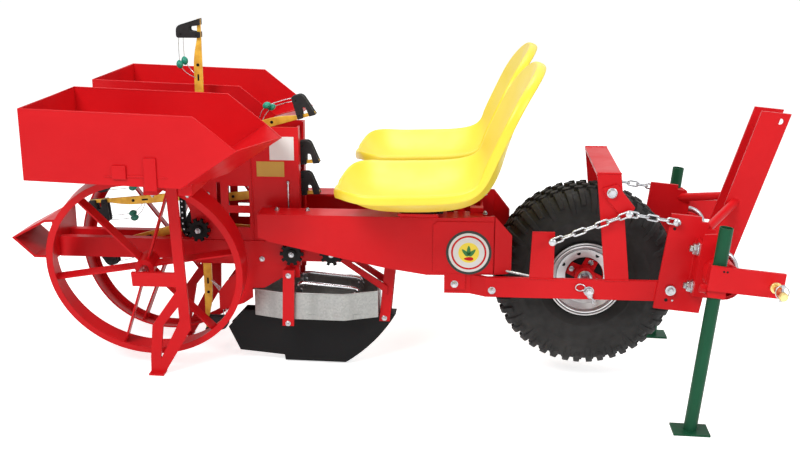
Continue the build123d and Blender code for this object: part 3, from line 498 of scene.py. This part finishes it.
def chains():
    """Welded round links between three pins on each side, with their washers."""
    links, pins = bmesh.new(), bmesh.new()
    spots = ((-121, 531, ARM_Y), (109, 624, ARM_Y + 8), (*head_spot(-17, 221), CLAMP_Y))
    for x, z, face in spots:
        for side in SIDES:
            rod(pins, (x, side * (face - 1), z), (x, side * (CHAIN_Y + 8), z), 4, 16)
            lathe(pins, ((0, 0), (0, 11.5), (2.4, 11.5), (3.4, 10.5), (5.2, 6.5), (6, 0)),
                  aimed((x, side * (CHAIN_Y + 7), z), (0, side, 0)), 24)
    for count, start, end in ((7, spots[0], spots[1]), (5, spots[1], spots[2])):
        run = Vector((end[0] - start[0], 0, end[1] - start[1]))
        pitch = (run.length + 8.3) / count
        inner = pitch + 0.3
        rise = Matrix.Rotation(-atan2(run.z, run.x), 4, "Y")
        outline = link_outline((inner + 6.4) / 2 - LINK_RADIUS, LINK_RADIUS, 12)
        for index in range(count):
            along = Matrix.Translation((inner / 2 - 4.3 + index * pitch, 0, 0))
            turned = Matrix.Rotation(radians(0 if index % 2 else 90), 4, "X")
            for side in SIDES:
                where = Matrix.Translation((start[0], side * CHAIN_Y, start[1])) @ rise @ along @ turned
                tube(links, [where @ Vector((x, z, 0)) for x, z in outline], CHAIN_WIRE, 10, closed=True)
    piece = finish_piece("chain_links", links, UNIT_MM, "zinc", smooth=60)
    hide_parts("lift_chains")
    finish_piece("chain_pins", pins, UNIT_MM, "zinc")


# Seats

SEAT_Y = 283
SEAT_LINE = (
    # x and z along the middle of the moulding, from the front edge to the top of the back
    (-774, 714), (-741, 683), (-690, 656), (-560, 642), (-440, 649), (-356, 676), (-300, 742), (-270, 835),
    (-240, 925), (-212, 1010), (-189, 1079))
SEAT_GIRTH = (
    # distance along that line, half width and height of the sides
    (0, 243, 4), (20, 243, 32), (55, 243, 62), (121, 243, 85), (250, 243, 96), (371, 243, 94), (450, 242, 88),
    (540, 240, 72), (642, 237, 54), (738, 236, 44), (829, 236, 36), (911, 236, 26))
# Reach and power of the round corners, where the section turns from upright to square with the line, and the lip's
# steps outward and up from the edge
SEAT_FRONT_CORNER, SEAT_TOP_CORNER = (130, 2.75), (190, 2.5)
SEAT_BEND_START, SEAT_BEND_END = 340, 700
SEAT_LIP = ((4, 1.0), (7, -2.5), (8, -9), (7.5, -18), (5, -27))


def smooth_line(knots, place):
    """A natural cubic through knots given as (place, values...) rows, read at a place."""
    count = len(knots)
    result = []
    for column in range(1, len(knots[0])):
        x = [row[0] for row in knots]
        y = [row[column] for row in knots]
        gaps = [b - a for a, b in zip(x, x[1:])]
        low, mid, right = [0.0] * count, [1.0] * count, [0.0] * count
        up = [0.0] * count
        for k in range(1, count - 1):
            low[k], mid[k], up[k] = gaps[k - 1], 2 * (gaps[k - 1] + gaps[k]), gaps[k]
            right[k] = 6 * ((y[k + 1] - y[k]) / gaps[k] - (y[k] - y[k - 1]) / gaps[k - 1])
        for k in range(1, count):
            share = low[k] / mid[k - 1]
            mid[k] -= share * up[k - 1]
            right[k] -= share * right[k - 1]
        curve = [0.0] * count
        for k in range(count - 1, -1, -1):
            curve[k] = (right[k] - (up[k] * curve[k + 1] if k < count - 1 else 0)) / mid[k]
        k = max(0, min(count - 2, sum(1 for v in x if v <= place) - 1))
        h = gaps[k]
        a, b = (x[k + 1] - place) / h, (place - x[k]) / h
        result.append(a * y[k] + b * y[k + 1] + ((a ** 3 - a) * curve[k] + (b ** 3 - b) * curve[k + 1]) * h * h / 6)
    return result


def corner(distance, reach, power):
    """How much of its full width an end with round corners has at a distance from its edge."""
    return 1.0 if distance >= reach else (1 - (1 - distance / reach) ** power) ** (1 / power)


def seat(side, name):
    """A moulded bucket with round corners, and an edge that rolls out and down all the way round."""
    lengths = [0.0]
    for (x0, z0), (x1, z1) in zip(SEAT_LINE, SEAT_LINE[1:]):
        lengths.append(lengths[-1] + sqrt((x1 - x0) ** 2 + (z1 - z0) ** 2))
    line = [(length, x, z) for length, (x, z) in zip(lengths, SEAT_LINE)]
    total = lengths[-1]
    rows, columns = 60, 28
    mesh = bmesh.new()
    grid, ups, normals = [], [], []
    for i in range(rows + 1):
        place = min(max(total * (1 - cos(pi * i / rows)) / 2, 0.5), total - 0.5)
        x, z = smooth_line(line, place)
        ahead, behind = smooth_line(line, min(total, place + 2)), smooth_line(line, max(0, place - 2))
        along = Vector((ahead[0] - behind[0], 0, ahead[1] - behind[1])).normalized()
        bent = min(1.0, max(0.0, (place - SEAT_BEND_START) / (SEAT_BEND_END - SEAT_BEND_START)))
        bent = bent * bent * (3 - 2 * bent)
        up = (Vector((0, 0, 1 - bent)) + Vector((-along.z, 0, along.x)) * bent).normalized()
        half, wing = smooth_line(SEAT_GIRTH, place * SEAT_GIRTH[-1][0] / total)
        top = corner(total - place, *SEAT_TOP_CORNER)
        half *= top * corner(x - SEAT_LINE[0][0], *SEAT_FRONT_CORNER)
        wing = min(max(wing * top * top, 0.5), half * 0.9)
        radius = (half * half + wing * wing) / (2 * wing)
        sweep = atan2(half, radius - wing)
        row, row_normals = [], []
        for j in range(columns + 1):
            angle = sweep * (-1 + 2 * j / columns)
            row.append(Vector((x, side * SEAT_Y + radius * sin(angle), z)) + up * radius * (1 - cos(angle)))
            row_normals.append(up * cos(angle) - Vector((0, sin(angle), 0)))
        grid.append(row)
        ups.append(up)
        normals.append(row_normals)
    ring = [(0, j) for j in range(columns)] + [(i, columns) for i in range(rows)]
    ring += [(rows, j) for j in range(columns, 0, -1)] + [(i, 0) for i in range(rows, 0, -1)]
    made = [[mesh.verts.new(p) for p in row] for row in grid]
    for one, two in zip(made, made[1:]):
        skin(mesh, one, two, closed=False)
    edge = [made[i][j] for i, j in ring]
    outward = []
    for k, (i, j) in enumerate(ring):
        run = edge[(k + 2) % len(edge)].co - edge[k - 2].co
        out = run.cross(normals[i][j])
        out -= ups[i] * out.dot(ups[i])
        out.normalize()
        outward.append(-out if out.dot(edge[k].co - grid[rows // 2][columns // 2]) < 0 else out)
    last = edge
    for out_by, up_by in SEAT_LIP:
        level = [mesh.verts.new(edge[k].co + outward[k] * out_by + ups[i] * up_by) for k, (i, j) in enumerate(ring)]
        skin(mesh, last, level)
        last = level
    piece = finish_piece(name, mesh, UNIT_MM, "yellow_plastic", smooth=80)
    shell = piece.modifiers.new("shell", "SOLIDIFY")
    shell.thickness = 0.004
    shell.offset = 0
    soft = piece.modifiers.new("soft", "SUBSURF")
    soft.levels = 1
    soft.render_levels = 1
    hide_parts("seat_right" if side < 0 else "seat_left")


def seat_mounts():
    """Cranked plates from the beam's flanges out to the seat pans, with a rubber pad on each."""
    mesh, pads = bmesh.new(), bmesh.new()
    profile = ((100, 588), (190, 588), (236, 604), (306, 622), (306, 630), (233, 612), (187, 596), (100, 596))
    for s in SIDES:
        near, far = ([mesh.verts.new((x, s * y, z)) for y, z in profile] for x in (-596, -476))
        mesh.faces.new(near)
        mesh.faces.new(far)
        skin(mesh, near, far)
        block(pads, -585, -487, s * 258, s * 300, 624, 636)
    piece = finish_piece("seat_bracket_plates", mesh, UNIT_MM, "red_paint", bevel=1.5)
    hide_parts("seat_mounts")
    finish_piece("seat_pads", pads, UNIT_MM, "black_paint", bevel=2.0)


# Gripper loop

LOOP_X, LOOP_TOP, LOOP_BOTTOM, LOOP_RADIUS = -1270, 792, 505, 75
GRIPPERS, REACH, LAG, JAW_ROOT = 10, 320, 6, 258
ARM_HALF, JAW_HALF = 4, 18
CHAIN_PITCHES = 54
LOOP_LENGTH = 2 * (LOOP_TOP - LOOP_BOTTOM) + 2 * LOOP_RADIUS * pi


def loop_point(distance):
    """Place and outward angle on the loop at a distance from its top."""
    quarter, run = LOOP_RADIUS * pi / 2, LOOP_TOP - LOOP_BOTTOM
    distance = distance % LOOP_LENGTH
    if distance < quarter or distance > LOOP_LENGTH - quarter:
        turn = distance if distance < quarter else distance - LOOP_LENGTH
        angle = pi / 2 - turn / LOOP_RADIUS
        return LOOP_X + LOOP_RADIUS * cos(angle), LOOP_TOP + LOOP_RADIUS * sin(angle), angle
    if distance < quarter + run:
        return LOOP_X + LOOP_RADIUS, LOOP_TOP - (distance - quarter), 0
    if distance < 3 * quarter + run:
        angle = -(distance - quarter - run) / LOOP_RADIUS
        return LOOP_X + LOOP_RADIUS * cos(angle), LOOP_BOTTOM + LOOP_RADIUS * sin(angle), angle
    return LOOP_X - LOOP_RADIUS, LOOP_BOTTOM + (distance - 3 * quarter - run), pi


def chain_rollers():
    """Side plates and pin ends along both faces of the gripper chain."""
    plates, pins = bmesh.new(), bmesh.new()
    for index in range(CHAIN_PITCHES):
        (x0, z0, _), (x1, z1, _) = (loop_point(k * LOOP_LENGTH / CHAIN_PITCHES) for k in (index, index + 1))
        run = Vector((x1 - x0, 0, z1 - z0))
        turn = run.to_track_quat("X", "Z").to_matrix().to_4x4()
        where = Matrix.Translation(((x1 + x0) / 2, 0, (z1 + z0) / 2)) @ turn
        for side in SIDES:
            base = side * (8.2 if index % 2 else 9.6)
            plate(plates, link_outline(run.length / 2, 6.6, 6), base, base + side * 1.4, where)
            pin_end = ((0, 0), (0, 3.4), (11.2, 3.4), (12.2, 2.4), (12.2, 0))
            lathe(pins, pin_end, aimed((x0, 0, z0), (0, side, 0)), 12)
    finish_piece("chain_side_plates", plates, UNIT_MM, "black_paint", smooth=30)
    finish_piece("chain_pin_ends", pins, UNIT_MM, "zinc", smooth=30)


def gripper_spot(index):
    """The frame of a gripper: X out along its arm, Z towards the side that its jaw lags on."""
    x, z, angle = loop_point(index * LOOP_LENGTH / GRIPPERS)
    lean = angle + radians(LAG) * abs(cos(angle))
    return Matrix.Translation((x, 0, z)) @ Matrix.Rotation(-lean, 4, "Y")


def gripper_arms():
    """Flat arms that narrow under the jaw and run on to its tip, the notched rubber jaws, and black plates as painted
    shade over the arms' slots.
    """
    arm = rounded(((9, -14, 1), (REACH - 2, -14, 2), (REACH - 2, -3, 2), (262, -2, 12), (190, 14, 60), (9, 14, 1)), 6)
    jaw = rounded(((REACH, -14, 3), (296, 64, 16), (JAW_ROOT, 64, 9), (JAW_ROOT, -14, 3), (276, -14, 2), (280, 20, 9),
                   (294, 20, 9), (298, -14, 2)), 6)
    arms, jaws, slot_shade = bmesh.new(), bmesh.new(), bmesh.new()
    # The arms' slots are black plates on both faces: painted shade, not openings
    hole = rounded(((118, -3, 3), (140, -3, 3), (140, 3, 3), (118, 3, 3)), 4)
    for index in range(GRIPPERS):
        spot = gripper_spot(index)
        plate(arms, arm, -ARM_HALF, ARM_HALF, spot)
        for side in SIDES:
            plate(jaws, jaw, side * (ARM_HALF + 0.2), side * JAW_HALF, spot)
            plate(slot_shade, hole, side * (ARM_HALF - 0.1), side * (ARM_HALF + 0.3), spot)
    piece = finish_piece("gripper_arm_bars", arms, UNIT_MM, "gold_plated", bevel=0.8)
    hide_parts("gripper_arms")
    piece = finish_piece("gripper_jaw_halves", jaws, UNIT_MM, "jaw_rubber", bevel=2.0)
    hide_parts("gripper_jaws")
    finish_piece("gripper_arm_slot_shade", slot_shade, UNIT_MM, "black_paint")


def gripper_trim():
    """Spring wires with their beads, jaw screws, arm rivets and a coil spring at every gripper."""
    wires, beads, screws, springs = (bmesh.new() for _ in range(4))
    bead = [(-15, 0)] + [(-15 + 3 * k, 11 * sin(pi * k / 10) ** 0.55) for k in range(1, 10)] + [(15, 0)]
    for index in range(GRIPPERS):
        spot = gripper_spot(index)
        for y, low, wide in ((-9, 86, 58), (9, 76, 46)):
            path = [(JAW_ROOT + 2, y * 0.6, wide), (JAW_ROOT - 30, y * 0.8, wide + 2), (JAW_ROOT - low, y, wide),
                    (JAW_ROOT - low - 26, y, wide - 16), (JAW_ROOT - low - 44, y * 0.4, 10)]
            tube(wires, bend([spot @ Vector(p) for p in path], 24, 6), 1.3, 6)
            centre = spot @ Vector((JAW_ROOT - low, y, wide))
            other = spot @ Vector((JAW_ROOT - low - 10, y, wide - 2))
            lathe(beads, bead, aimed(centre, other - centre), 18)
        for side in SIDES:
            out = (0, side, 0)
            for along, across in ((JAW_ROOT + 9, -2), (JAW_ROOT + 12, 48)):
                at = spot @ Vector((along, side * JAW_HALF, across))
                lathe(screws, ((0, 0), (0, 3.2), (0.8, 2.8), (1.2, 0)), aimed(at, out), 14)
            for along in (24, 170):
                at = spot @ Vector((along, side * ARM_HALF, 0))
                lathe(screws, ((0, 0), (0, 5.2), (2.0, 4.6), (3.0, 0)), aimed(at, out), 14)
        coil = [spot @ Vector((170 + 3.2 * cos(t * 1.1), 7.5 + 0.42 * t, -1 + 7 * sin(t * 1.1))) for t in range(18)]
        tube(springs, coil, 1.1, 6)
    finish_piece("jaw_wires", wires, UNIT_MM, "zinc", smooth=60)
    finish_piece("jaw_beads", beads, UNIT_MM, "green_paint", material=MATERIALS["bead_green"], smooth=60)
    finish_piece("jaw_screws", screws, UNIT_MM, "black_paint")
    finish_piece("arm_springs", springs, UNIT_MM, "zinc", smooth=60)


# Fasteners, wires and trim of the frame

SIDE_BOLTS = (
    # x, outer face, z, size and how far a thread stands out
    (56, 220, 685, 16, 0), (-423, 190, 371, 12, 4), (-304, ARM_Y, 360, 12, 4), (HINGE_X, 234, HINGE_Z, 11, 0),
    (-975, 122, 197, 9, 4), (-970, 122, 363, 9, 4), (-661, 36, 193, 9, 4), (-641, 36, 420, 9, 4),
    (-1148, FRAME_Y, 402, 9, 4), (-1066, FRAME_Y, 404, 9, 4), (-1210, FRAME_Y, 702, 9, 4),
    (-1240, FRAME_Y, 622, 8, 4), (-1300, FRAME_Y, 770, 8, 4), (-1112, FRAME_Y, 812, 8, 4),
    (0, ARM_Y, WHEEL_Z, 16, 5), (LOOP_X, FRAME_Y + 3, LOOP_TOP, 12, 4))
UPRIGHT_BOLTS = (
    # x, y, face, which way they point and how far a thread stands out
    (-586, 140, 596, 1, 4), (-484, 140, 596, 1, 4), (-1298, 120, 721, -1, 4), (-1298, 480, 721, -1, 4),
    (-1195, 120, 721, -1, 4), (-1195, 480, 721, -1, 4), (-1000, 130, 588, 1, 3), (-900, 130, 588, 1, 3),
    (-330, 130, 588, 1, 3))


def frame_fasteners():
    """Bolts of the planting unit, and the nuts and bosses of the hitch head, with black discs as painted shade for
    its holes.
    """
    mesh = bmesh.new()
    for s in SIDES:
        out = (0, s, 0)
        for x, y, z, size, stub in SIDE_BOLTS:
            bolt(mesh, (x, s * y, z), out, size, stub)
        for x, y, z, way, stub in UPRIGHT_BOLTS:
            bolt(mesh, (x, s * y, z), (0, 0, way), 8, stub)
        lathe(mesh, ((0, 0), (0, 21), (2.5, 21), (3, 20), (3, 0)), aimed((LOOP_X, s * FRAME_Y, LOOP_TOP), out), 32)
    for x, z in ((-962, 430), (-830, 432), (LOOP_X, LOOP_BOTTOM)):
        bolt(mesh, (x, -106, z), (0, -1, 0), 9, 3)
    finish_piece("frame_bolts", mesh, UNIT_MM, "zinc")

    mesh = bmesh.new()
    for s in SIDES:
        for z in (TOOLBAR_Z - 59.3, TOOLBAR_Z + 59.3):
            bolt(mesh, (54, s * 268, z), (-1, 0, 0), 21, 9)
        lathe(mesh, ((0, 0), (0, 3.4), (2.5, 3.0), (3, 0)), aimed((12, s * (CLAMP_Y + 0.2), -34), (0, s, 0)), 12)
    finish_piece("head_nuts", mesh, HEAD_MM, "zinc")

    mesh = bmesh.new()
    clamp = rounded(((56, 12, 4), (112, 12, 4), (112, 206, 4), (96, 214, 4), (56, 208, 4)), 3)
    flange = rounded(((104, 20, 4), (112, 20, 4), (112, 200, 4), (104, 200, 4)), 2)
    for s in SIDES:
        rod(mesh, (44, s * 411, 74), (64, s * 411, 74), 12.5, 24, 1.5)
        rod(mesh, (140, s * 437, 134), (116, s * 437, 134), 9, 20, 1.0)
        plate(mesh, clamp, s * 296, s * 304)
        plate(mesh, flange, s * 304, s * 384)
    finish_piece("clamp_bosses", mesh, HEAD_MM, "red_paint")

    # Black discs on the clamp and flange plates: painted shade where the holes are
    hole_shade = bmesh.new()
    for s in SIDES:
        for x, z, size in ((-7, -35, 5.5), (-17, 196, 5.0)):
            disc(hole_shade, (x, s * CLAMP_Y, z), (0, s, 0), size, 0.5, 20)
        for x in (96, 106):
            disc(hole_shade, (x, s * 449, 142), (0, s, 0), 3.2, 0.5)
    finish_piece("plate_hole_shade", hole_shade, HEAD_MM, "black_paint")


def hitch_pin_trim():
    """Collars, end caps and ring pins on the lower hitch pins, and the pin that hangs on the arm."""
    collars, wire, hung = bmesh.new(), bmesh.new(), bmesh.new()
    pin_x, pin_z, ring_y = 249, 113, 516
    for s in SIDES:
        out = (0, s, 0)
        lathe(collars, ((0, 11), (0, 17), (7, 17), (8, 16), (8, 11)), aimed((pin_x, s * 449, pin_z), out), 32)
        lathe(collars, ((0, 11), (0, 13), (6, 13), (10, 10), (11, 0)), aimed((pin_x, s * 530, pin_z), out), 32)
        rod(wire, (pin_x, s * ring_y, 92), (pin_x, s * ring_y, 136), 4.2, 14, 0.8)
        ring = [(pin_x + 19 * sin(a), s * ring_y + 4 * cos(a), 120 + 19 * cos(a)) for a in turns(28)]
        tube(wire, ring, 1.8, 8, closed=True)
        lathe(wire, ((-3, 0), (-3, 6.5), (3, 6.5), (3, 0)), aimed((pin_x, s * ring_y, 138), (0, 0, 1)), 20)
        rod(hung, (-17, s * 218, 366), (22, s * 218, 334), 2.6, 12, 0.6)
        ring = [(-27 + 15 * cos(a), s * 216.5, 378 + 11 * sin(a)) for a in turns(28)]
        tube(hung, ring, 1.8, 8, closed=True)
        boss = ((0, 0), (0, 9.5), (3, 9.5), (5, 7.5), (7, 3), (7.4, 0))
        lathe(hung, boss, aimed((4, s * ARM_Y, 350), out), 24)
        tube(hung, bend([(14, s * 217, 344), (12, s * 218, 328), (20, s * 218, 318)], 6), 1.6, 8)
    finish_piece("hitch_pin_collars", collars, HEAD_MM, "zinc", material=MATERIALS["yellow_zinc"])
    finish_piece("hitch_ring_pins", wire, HEAD_MM, "zinc", smooth=60)
    finish_piece("hanging_pins", hung, UNIT_MM, "zinc", smooth=60)


def rods_and_rails():
    """The bright rods on the column and along the tyre, and the rails and the rolled lip of the trough."""
    mesh = bmesh.new()
    rod(mesh, (-971, -75.5, 557), (-971, -75.5, 672), 2.6, 12)
    for z in (560, 664):
        hex_part(mesh, (-971, -75.5, z), (0, 0, 1), 9, 6)
    for s in SIDES:
        tube(mesh, bend([(-316, s * 172, 424), (-262, s * 172, 414), (-182, s * 192, 404)], 30), 4, 10)
    finish_piece("bright_rods", mesh, UNIT_MM, "zinc", smooth=50)

    mesh = bmesh.new()
    rail = ((-946, 262), (-946, 316), (-930, 319), (-766, 304), (-750, 300), (-750, 262))
    for s in SIDES:
        tube(mesh, bend([(x, s * 58, z) for x, z in rail], 12, 6), 7, 14)
        for x, z in ((-946, 285), (-750, 275)):
            block(mesh, x - 11, x + 11, s * 58 - 3, s * 58 + 3, z - 14, z + 14)
    finish_piece("trough_rails", mesh, UNIT_MM, "zinc", material=MATERIALS["chrome"], bevel=1.0, smooth=50)

    mesh = bmesh.new()
    lip, lip_z = ((-1095, 70), (-1000, 102), (-790, 108), (-680, 62)), 297.2
    for s in SIDES:
        tube(mesh, [(x, s * (y - 1.2), lip_z) for x, y in lip], 2.6, 8)
    for x, half in ((-680.5, 62), (-1094.5, 70)):
        tube(mesh, [(x, -half, lip_z), (x, half, lip_z)], 2.6, 8)
    for s in SIDES:
        for x, y, along in ((-895, 105.4, 0), (-745, 89.5, 0.42)):
            where = Matrix.Translation((x, s * y, 214)) @ Matrix.Rotation(-s * along, 4, "Z")
            block(mesh, -16, 16, -1, 3 if s > 0 else 1, -6, 10, where)
    finish_piece("trough_lip", mesh, UNIT_MM, "galvanised", smooth=60)


BADGE_X, BADGE_Z, BADGE_Y = -379, 477, 192.6
BADGE_RINGS = (
    # look, outer and inner radius, and how far it stands out
    ("dark_ring", 72, 64, 1.2), ("white_plate", 64.2, 0, 0.9), ("red_paint", 56, 50, 1.1),
    ("yellow_plastic", 33, 0, 1.1))
BADGE_LEAVES = (
    # look, then the middle and the turn of each leaf
    ("leaf_green", ((-11, 0, 0.75), (11, 0, -0.75), (0, 8, 0.0))), ("red_paint", ((0, -20, 1.5708),)))


def plates_and_badge():
    """Blank plates on the column, the round badge on the beam, and the beam's doublers and buffers."""
    face = -(FRAME_Y + 1.2)
    for name, x0, x1, z0, z1 in (("white_plate", -1030, -950, 740, 817), ("gold_plate", -1074, -983, 685, 735)):
        mesh = bmesh.new()
        block(mesh, x0, x1, face, -(FRAME_Y + 0.05), z0, z1)
        for x in (x0 + 5, x1 - 5):
            for z in (z0 + 5, z1 - 5):
                lathe(mesh, ((0, 0), (0, 2.0), (0.9, 1.4), (1.2, 0)), aimed((x, face, z), (0, -1, 0)), 10)
        finish_piece(name, mesh, UNIT_MM, "red_paint", material=MATERIALS[name], bevel=0.3)
    for s in SIDES:
        tag = "right" if s < 0 else "left"
        for name, outer, inner, lift in BADGE_RINGS:
            mesh = bmesh.new()
            ring = ((0, inner), (lift, inner), (lift, outer - 0.4), (lift - 0.3, outer), (0, outer))
            lathe(mesh, ring, aimed((BADGE_X, s * BADGE_Y, BADGE_Z), (0, s, 0)), 64)
            finish_piece("badge_" + name + "_" + tag, mesh, UNIT_MM, "red_paint", material=MATERIALS[name])
        for name, leaves in BADGE_LEAVES:
            mesh = bmesh.new()
            for dx, dz, turn in leaves:
                rim = []
                for t in turns(24):
                    a, b = 6 * cos(t) * (1 - 0.35 * sin(t)), 15 * sin(t)
                    rim.append((BADGE_X + dx + a * cos(turn) - b * sin(turn),
                                BADGE_Z + dz + a * sin(turn) + b * cos(turn)))
                plate(mesh, rim, s * (BADGE_Y + 0.8), s * (BADGE_Y + 1.4))
            finish_piece("badge_leaves_" + name + "_" + tag, mesh, UNIT_MM, "red_paint", material=MATERIALS[name])
    mesh = bmesh.new()
    for s in SIDES:
        plate(mesh, ((-493, 414), (-493, 566), (-478, 578), (-302, 578), (-302, 408), (-388, 408), (-455, 404)),
              s * 189.9, s * BADGE_Y)
        block(mesh, -378, -336, s * 84, s * 118, 588, 604)
        plate(mesh, ((-418, 588), (-396, 588), (-400, 612), (-414, 612)), s * 96, s * 102)
    finish_piece("beam_doublers", mesh, UNIT_MM, "red_paint", bevel=1.2)
    mesh = bmesh.new()
    for s in SIDES:
        block(mesh, -452, -430, s * 92, s * 112, 588, 600)
        block(mesh, -682, -656, s * 45, s * 66, 384, 396.8)
    finish_piece("beam_buffers", mesh, UNIT_MM, "black_paint", bevel=2.0)


BOX_INNER, BOX_MIDDLE, BOX_OUTER = 86.5, 308.5, 530.5
BOX_BRACKETS = (
    # x from and to, the outer face, z from and to
    (-1394, -1354, 540.5, 775, 814), (-1302, -1266, 539, 741, 837), (-1354, -1302, 535, 779, 786),
    (-1420, -1394, 534, 779, 784), (-1266, -1236, 534, 777, 782))


def box_trim():
    """Hems along the plant boxes' edges and the brackets outside them."""
    hem, brackets = bmesh.new(), bmesh.new()
    # The rim falls from z 974 at x -1708 to 955 at x -1156, and its rear corners are set in by 50
    rear_top = 974 - 50 * (974 - 955) / (1708 - 1156)
    rim = [(-1656.5, BOX_OUTER, rear_top), (-1156, BOX_OUTER, 955), (-1036, BOX_OUTER, 859), (-947, BOX_MIDDLE, 859),
           (-1036, BOX_INNER, 859), (-1156, BOX_INNER, 955), (-1656.5, BOX_INNER, rear_top)]
    for s in SIDES:
        tube(hem, [(x, s * y, z) for x, y, z in rim], 2.7, 8, closed=True)
        for x0, x1, y, z0, z1 in BOX_BRACKETS:
            block(brackets, x0, x1, s * (BOX_OUTER + 1), s * y, z0, z1)
    finish_piece("box_hems", hem, UNIT_MM, "red_paint", smooth=60)
    finish_piece("box_brackets", brackets, UNIT_MM, "red_paint", bevel=1.5)


def seat_trim():
    """Seat adjuster rails and the plugs of the seats' bolts."""
    rails, plugs = bmesh.new(), bmesh.new()
    plug = ((-4, 0), (-4, 11), (1.5, 10.5), (3.2, 7), (4, 0))
    for s in SIDES:
        for y in (118, 162):
            block(rails, -600, -462, s * y - 9, s * y + 9, 596, 603)
            for edge in (-9, 6):
                block(rails, -598, -464, s * y + edge, s * y + edge + 3, 603, 610)
        for x in (-575, -500):
            for y in (SEAT_Y - 28, SEAT_Y + 28):
                lathe(plugs, plug, aimed((x, s * y, 646), (0, 0, 1)), 24)
    finish_piece("seat_adjusters", rails, UNIT_MM, "black_paint", bevel=0.8)
    finish_piece("seat_bolts", plugs, UNIT_MM, "zinc")


UNIT_WELDS = (
    # x and z at both ends, y and the radius of a bead
    (48, 402.5, 122, 402.5, 212.5, 3.2), (-188, 402.5, -112, 402.5, 212.5, 3.2), (49, 402.5, 121, 402.5, 201.5, 3.2),
    (9, 745, 83, 745, 212.5, 2.6), (29, 701, 40, 668, 212.6, 2.6), (41, 667, 92, 607, 212.6, 2.6),
    (-600, 588.5, -470, 588.5, 193, 2.6), (-1300, 466, -1052, 466, 72.6, 2.4), (-1090, 470, -1090, 840, 72.6, 2.2))
HEAD_WELDS = (
    (54, 12, 54, 174, 222.5, 3.2), (64.5, 12, 64.5, 174, 222.5, 2.6), (116.4, 80, 116.4, 148, 437.5, 2.6),
    (63.6, 80, 63.6, 148, 437.5, 2.6), (64, 148.5, 116, 148.5, 437.5, 2.6))


def welds():
    """Weld beads where the red pieces join, and round the toolbar."""
    for name, beads, where in (("unit_welds", UNIT_WELDS, UNIT_MM), ("head_welds", HEAD_WELDS, HEAD_MM)):
        mesh = bmesh.new()
        for s in SIDES:
            for x0, z0, x1, z1, y, radius in beads:
                weld(mesh, (x0, s * y, z0), (x1, s * y, z1), radius)
            if where is HEAD_MM:
                toolbar_welds(mesh, s)
        finish_piece(name, mesh, where, "red_paint", smooth=60)


def toolbar_welds(mesh, s):
    """Rings at the clamp plates, whole on the outer one, and part rings at the mast bar."""
    ripples = [1.0 + 0.16 * sin(k * 2.1) for k in range(60)]
    whole, part = turns(60), turns(30, -0.9, 2.1, True)
    for y, radius, angles in ((222.8, 53, whole), (384.2, 53, whole), (39.4, 52.5, part), (50.6, 52.5, part)):
        ring = [Vector((TOOLBAR_X + radius * cos(a), s * y, TOOLBAR_Z + radius * sin(a))) for a in angles]
        if y == 222.8:
            # This ring is left open behind x 106
            ring = [p for p in ring if p.x > 106]
        tube(mesh, ring, 2.8, 8, closed=(y == 384.2), swell=ripples)


tyre()
wheel_trim()
chains()
seat(-1, "seat_shell_right")
seat(1, "seat_shell_left")
seat_mounts()
chain_rollers()
gripper_arms()
gripper_trim()
frame_fasteners()
hitch_pin_trim()
rods_and_rails()
plates_and_badge()
box_trim()
seat_trim()
welds()


# Floor, light, camera

def seen_rays(tree):
    """1 for the rays that show the background: to the camera, off a glossy face and through glass."""
    path = node(tree, "ShaderNodeLightPath").outputs
    total = path["Is Camera Ray"]
    for name in ("Is Glossy Ray", "Is Transmission Ray"):
        total = node(tree, "ShaderNodeMath", {0: total, 1: path[name]}, operation="MAXIMUM").outputs[0]
    return total


def floor_paper(tree):
    """White paper, lifted to plain white where it is looked at and not where it lights the machine."""
    lift = node(tree, "ShaderNodeMath", {0: seen_rays(tree), 1: 0.70}, operation="MULTIPLY").outputs[0]
    return {"Base Color": (0.93, 0.93, 0.93), "Roughness": 0.9, "Specular IOR Level": 0.1,
            "Emission Color": (1, 1, 1), "Emission Strength": lift}


LAMPS = (
    # name, place, diameter and power
    ("key", (-2.0, -4.4, 4.4), 2.4, 215), ("fill", (3.6, -3.4, 2.6), 2.4, 75), ("top", (0.2, 1.0, 5.0), 3.0, 110))


def build_stage():
    """The floor, the white world around it and three soft lamps."""
    edge = 60.0
    floor_mesh = bpy.data.meshes.new("floor")
    corners = [(-edge, -edge, 0), (edge, -edge, 0), (edge, edge, 0), (-edge, edge, 0)]
    floor_mesh.from_pydata(corners, [], [(0, 1, 2, 3)])
    floor_mesh.materials.append(new_material("floor_paper", floor_paper))
    floor = bpy.data.objects.new("floor", floor_mesh)
    bpy.context.scene.collection.objects.link(floor)
    floor.location.z = -0.0005

    world = bpy.data.worlds.new("studio")
    bpy.context.scene.world = world
    world.use_nodes = True
    tree = world.node_tree
    strength = spread(tree, seen_rays(tree), 0.0, 1.0, 0.32, 1.0)
    feed(tree, tree.nodes["Background"], {"Color": (1, 1, 1), "Strength": strength})

    for name, place, size, power in LAMPS:
        lamp = bpy.data.lights.new(name, "AREA")
        lamp.shape = "DISK"
        lamp.size = size
        lamp.energy = power
        held = bpy.data.objects.new(name, lamp)
        bpy.context.scene.collection.objects.link(held)
        held.location = place
        held.rotation_mode = "QUATERNION"
        held.rotation_quaternion = (Vector((0, 0, 0.5)) - Vector(place)).to_track_quat("-Z", "Y")


def build_camera():
    """The photograph's view: 1100 pixels of focal length at 800 wide, low and a little rolled."""
    data = bpy.data.cameras.new("camera")
    data.sensor_width = 36.0
    data.lens = data.sensor_width * 1100 / 800
    camera = bpy.data.objects.new("camera", data)
    bpy.context.scene.collection.objects.link(camera)
    right = Vector((0.997, 0.0744, 0.0234)).normalized()
    forward = Vector((-0.0656, 0.9625, -0.2631)).normalized()
    right = (right - forward * right.dot(forward)).normalized()
    up = right.cross(forward)
    turn = Matrix((right, up, -forward)).transposed().to_4x4()
    camera.matrix_world = Matrix.Translation((0.2775, -3.5311, 1.4620)) @ turn
    bpy.context.scene.camera = camera


build_stage()
build_camera()
bpy.context.scene.view_settings.view_transform = "Standard"
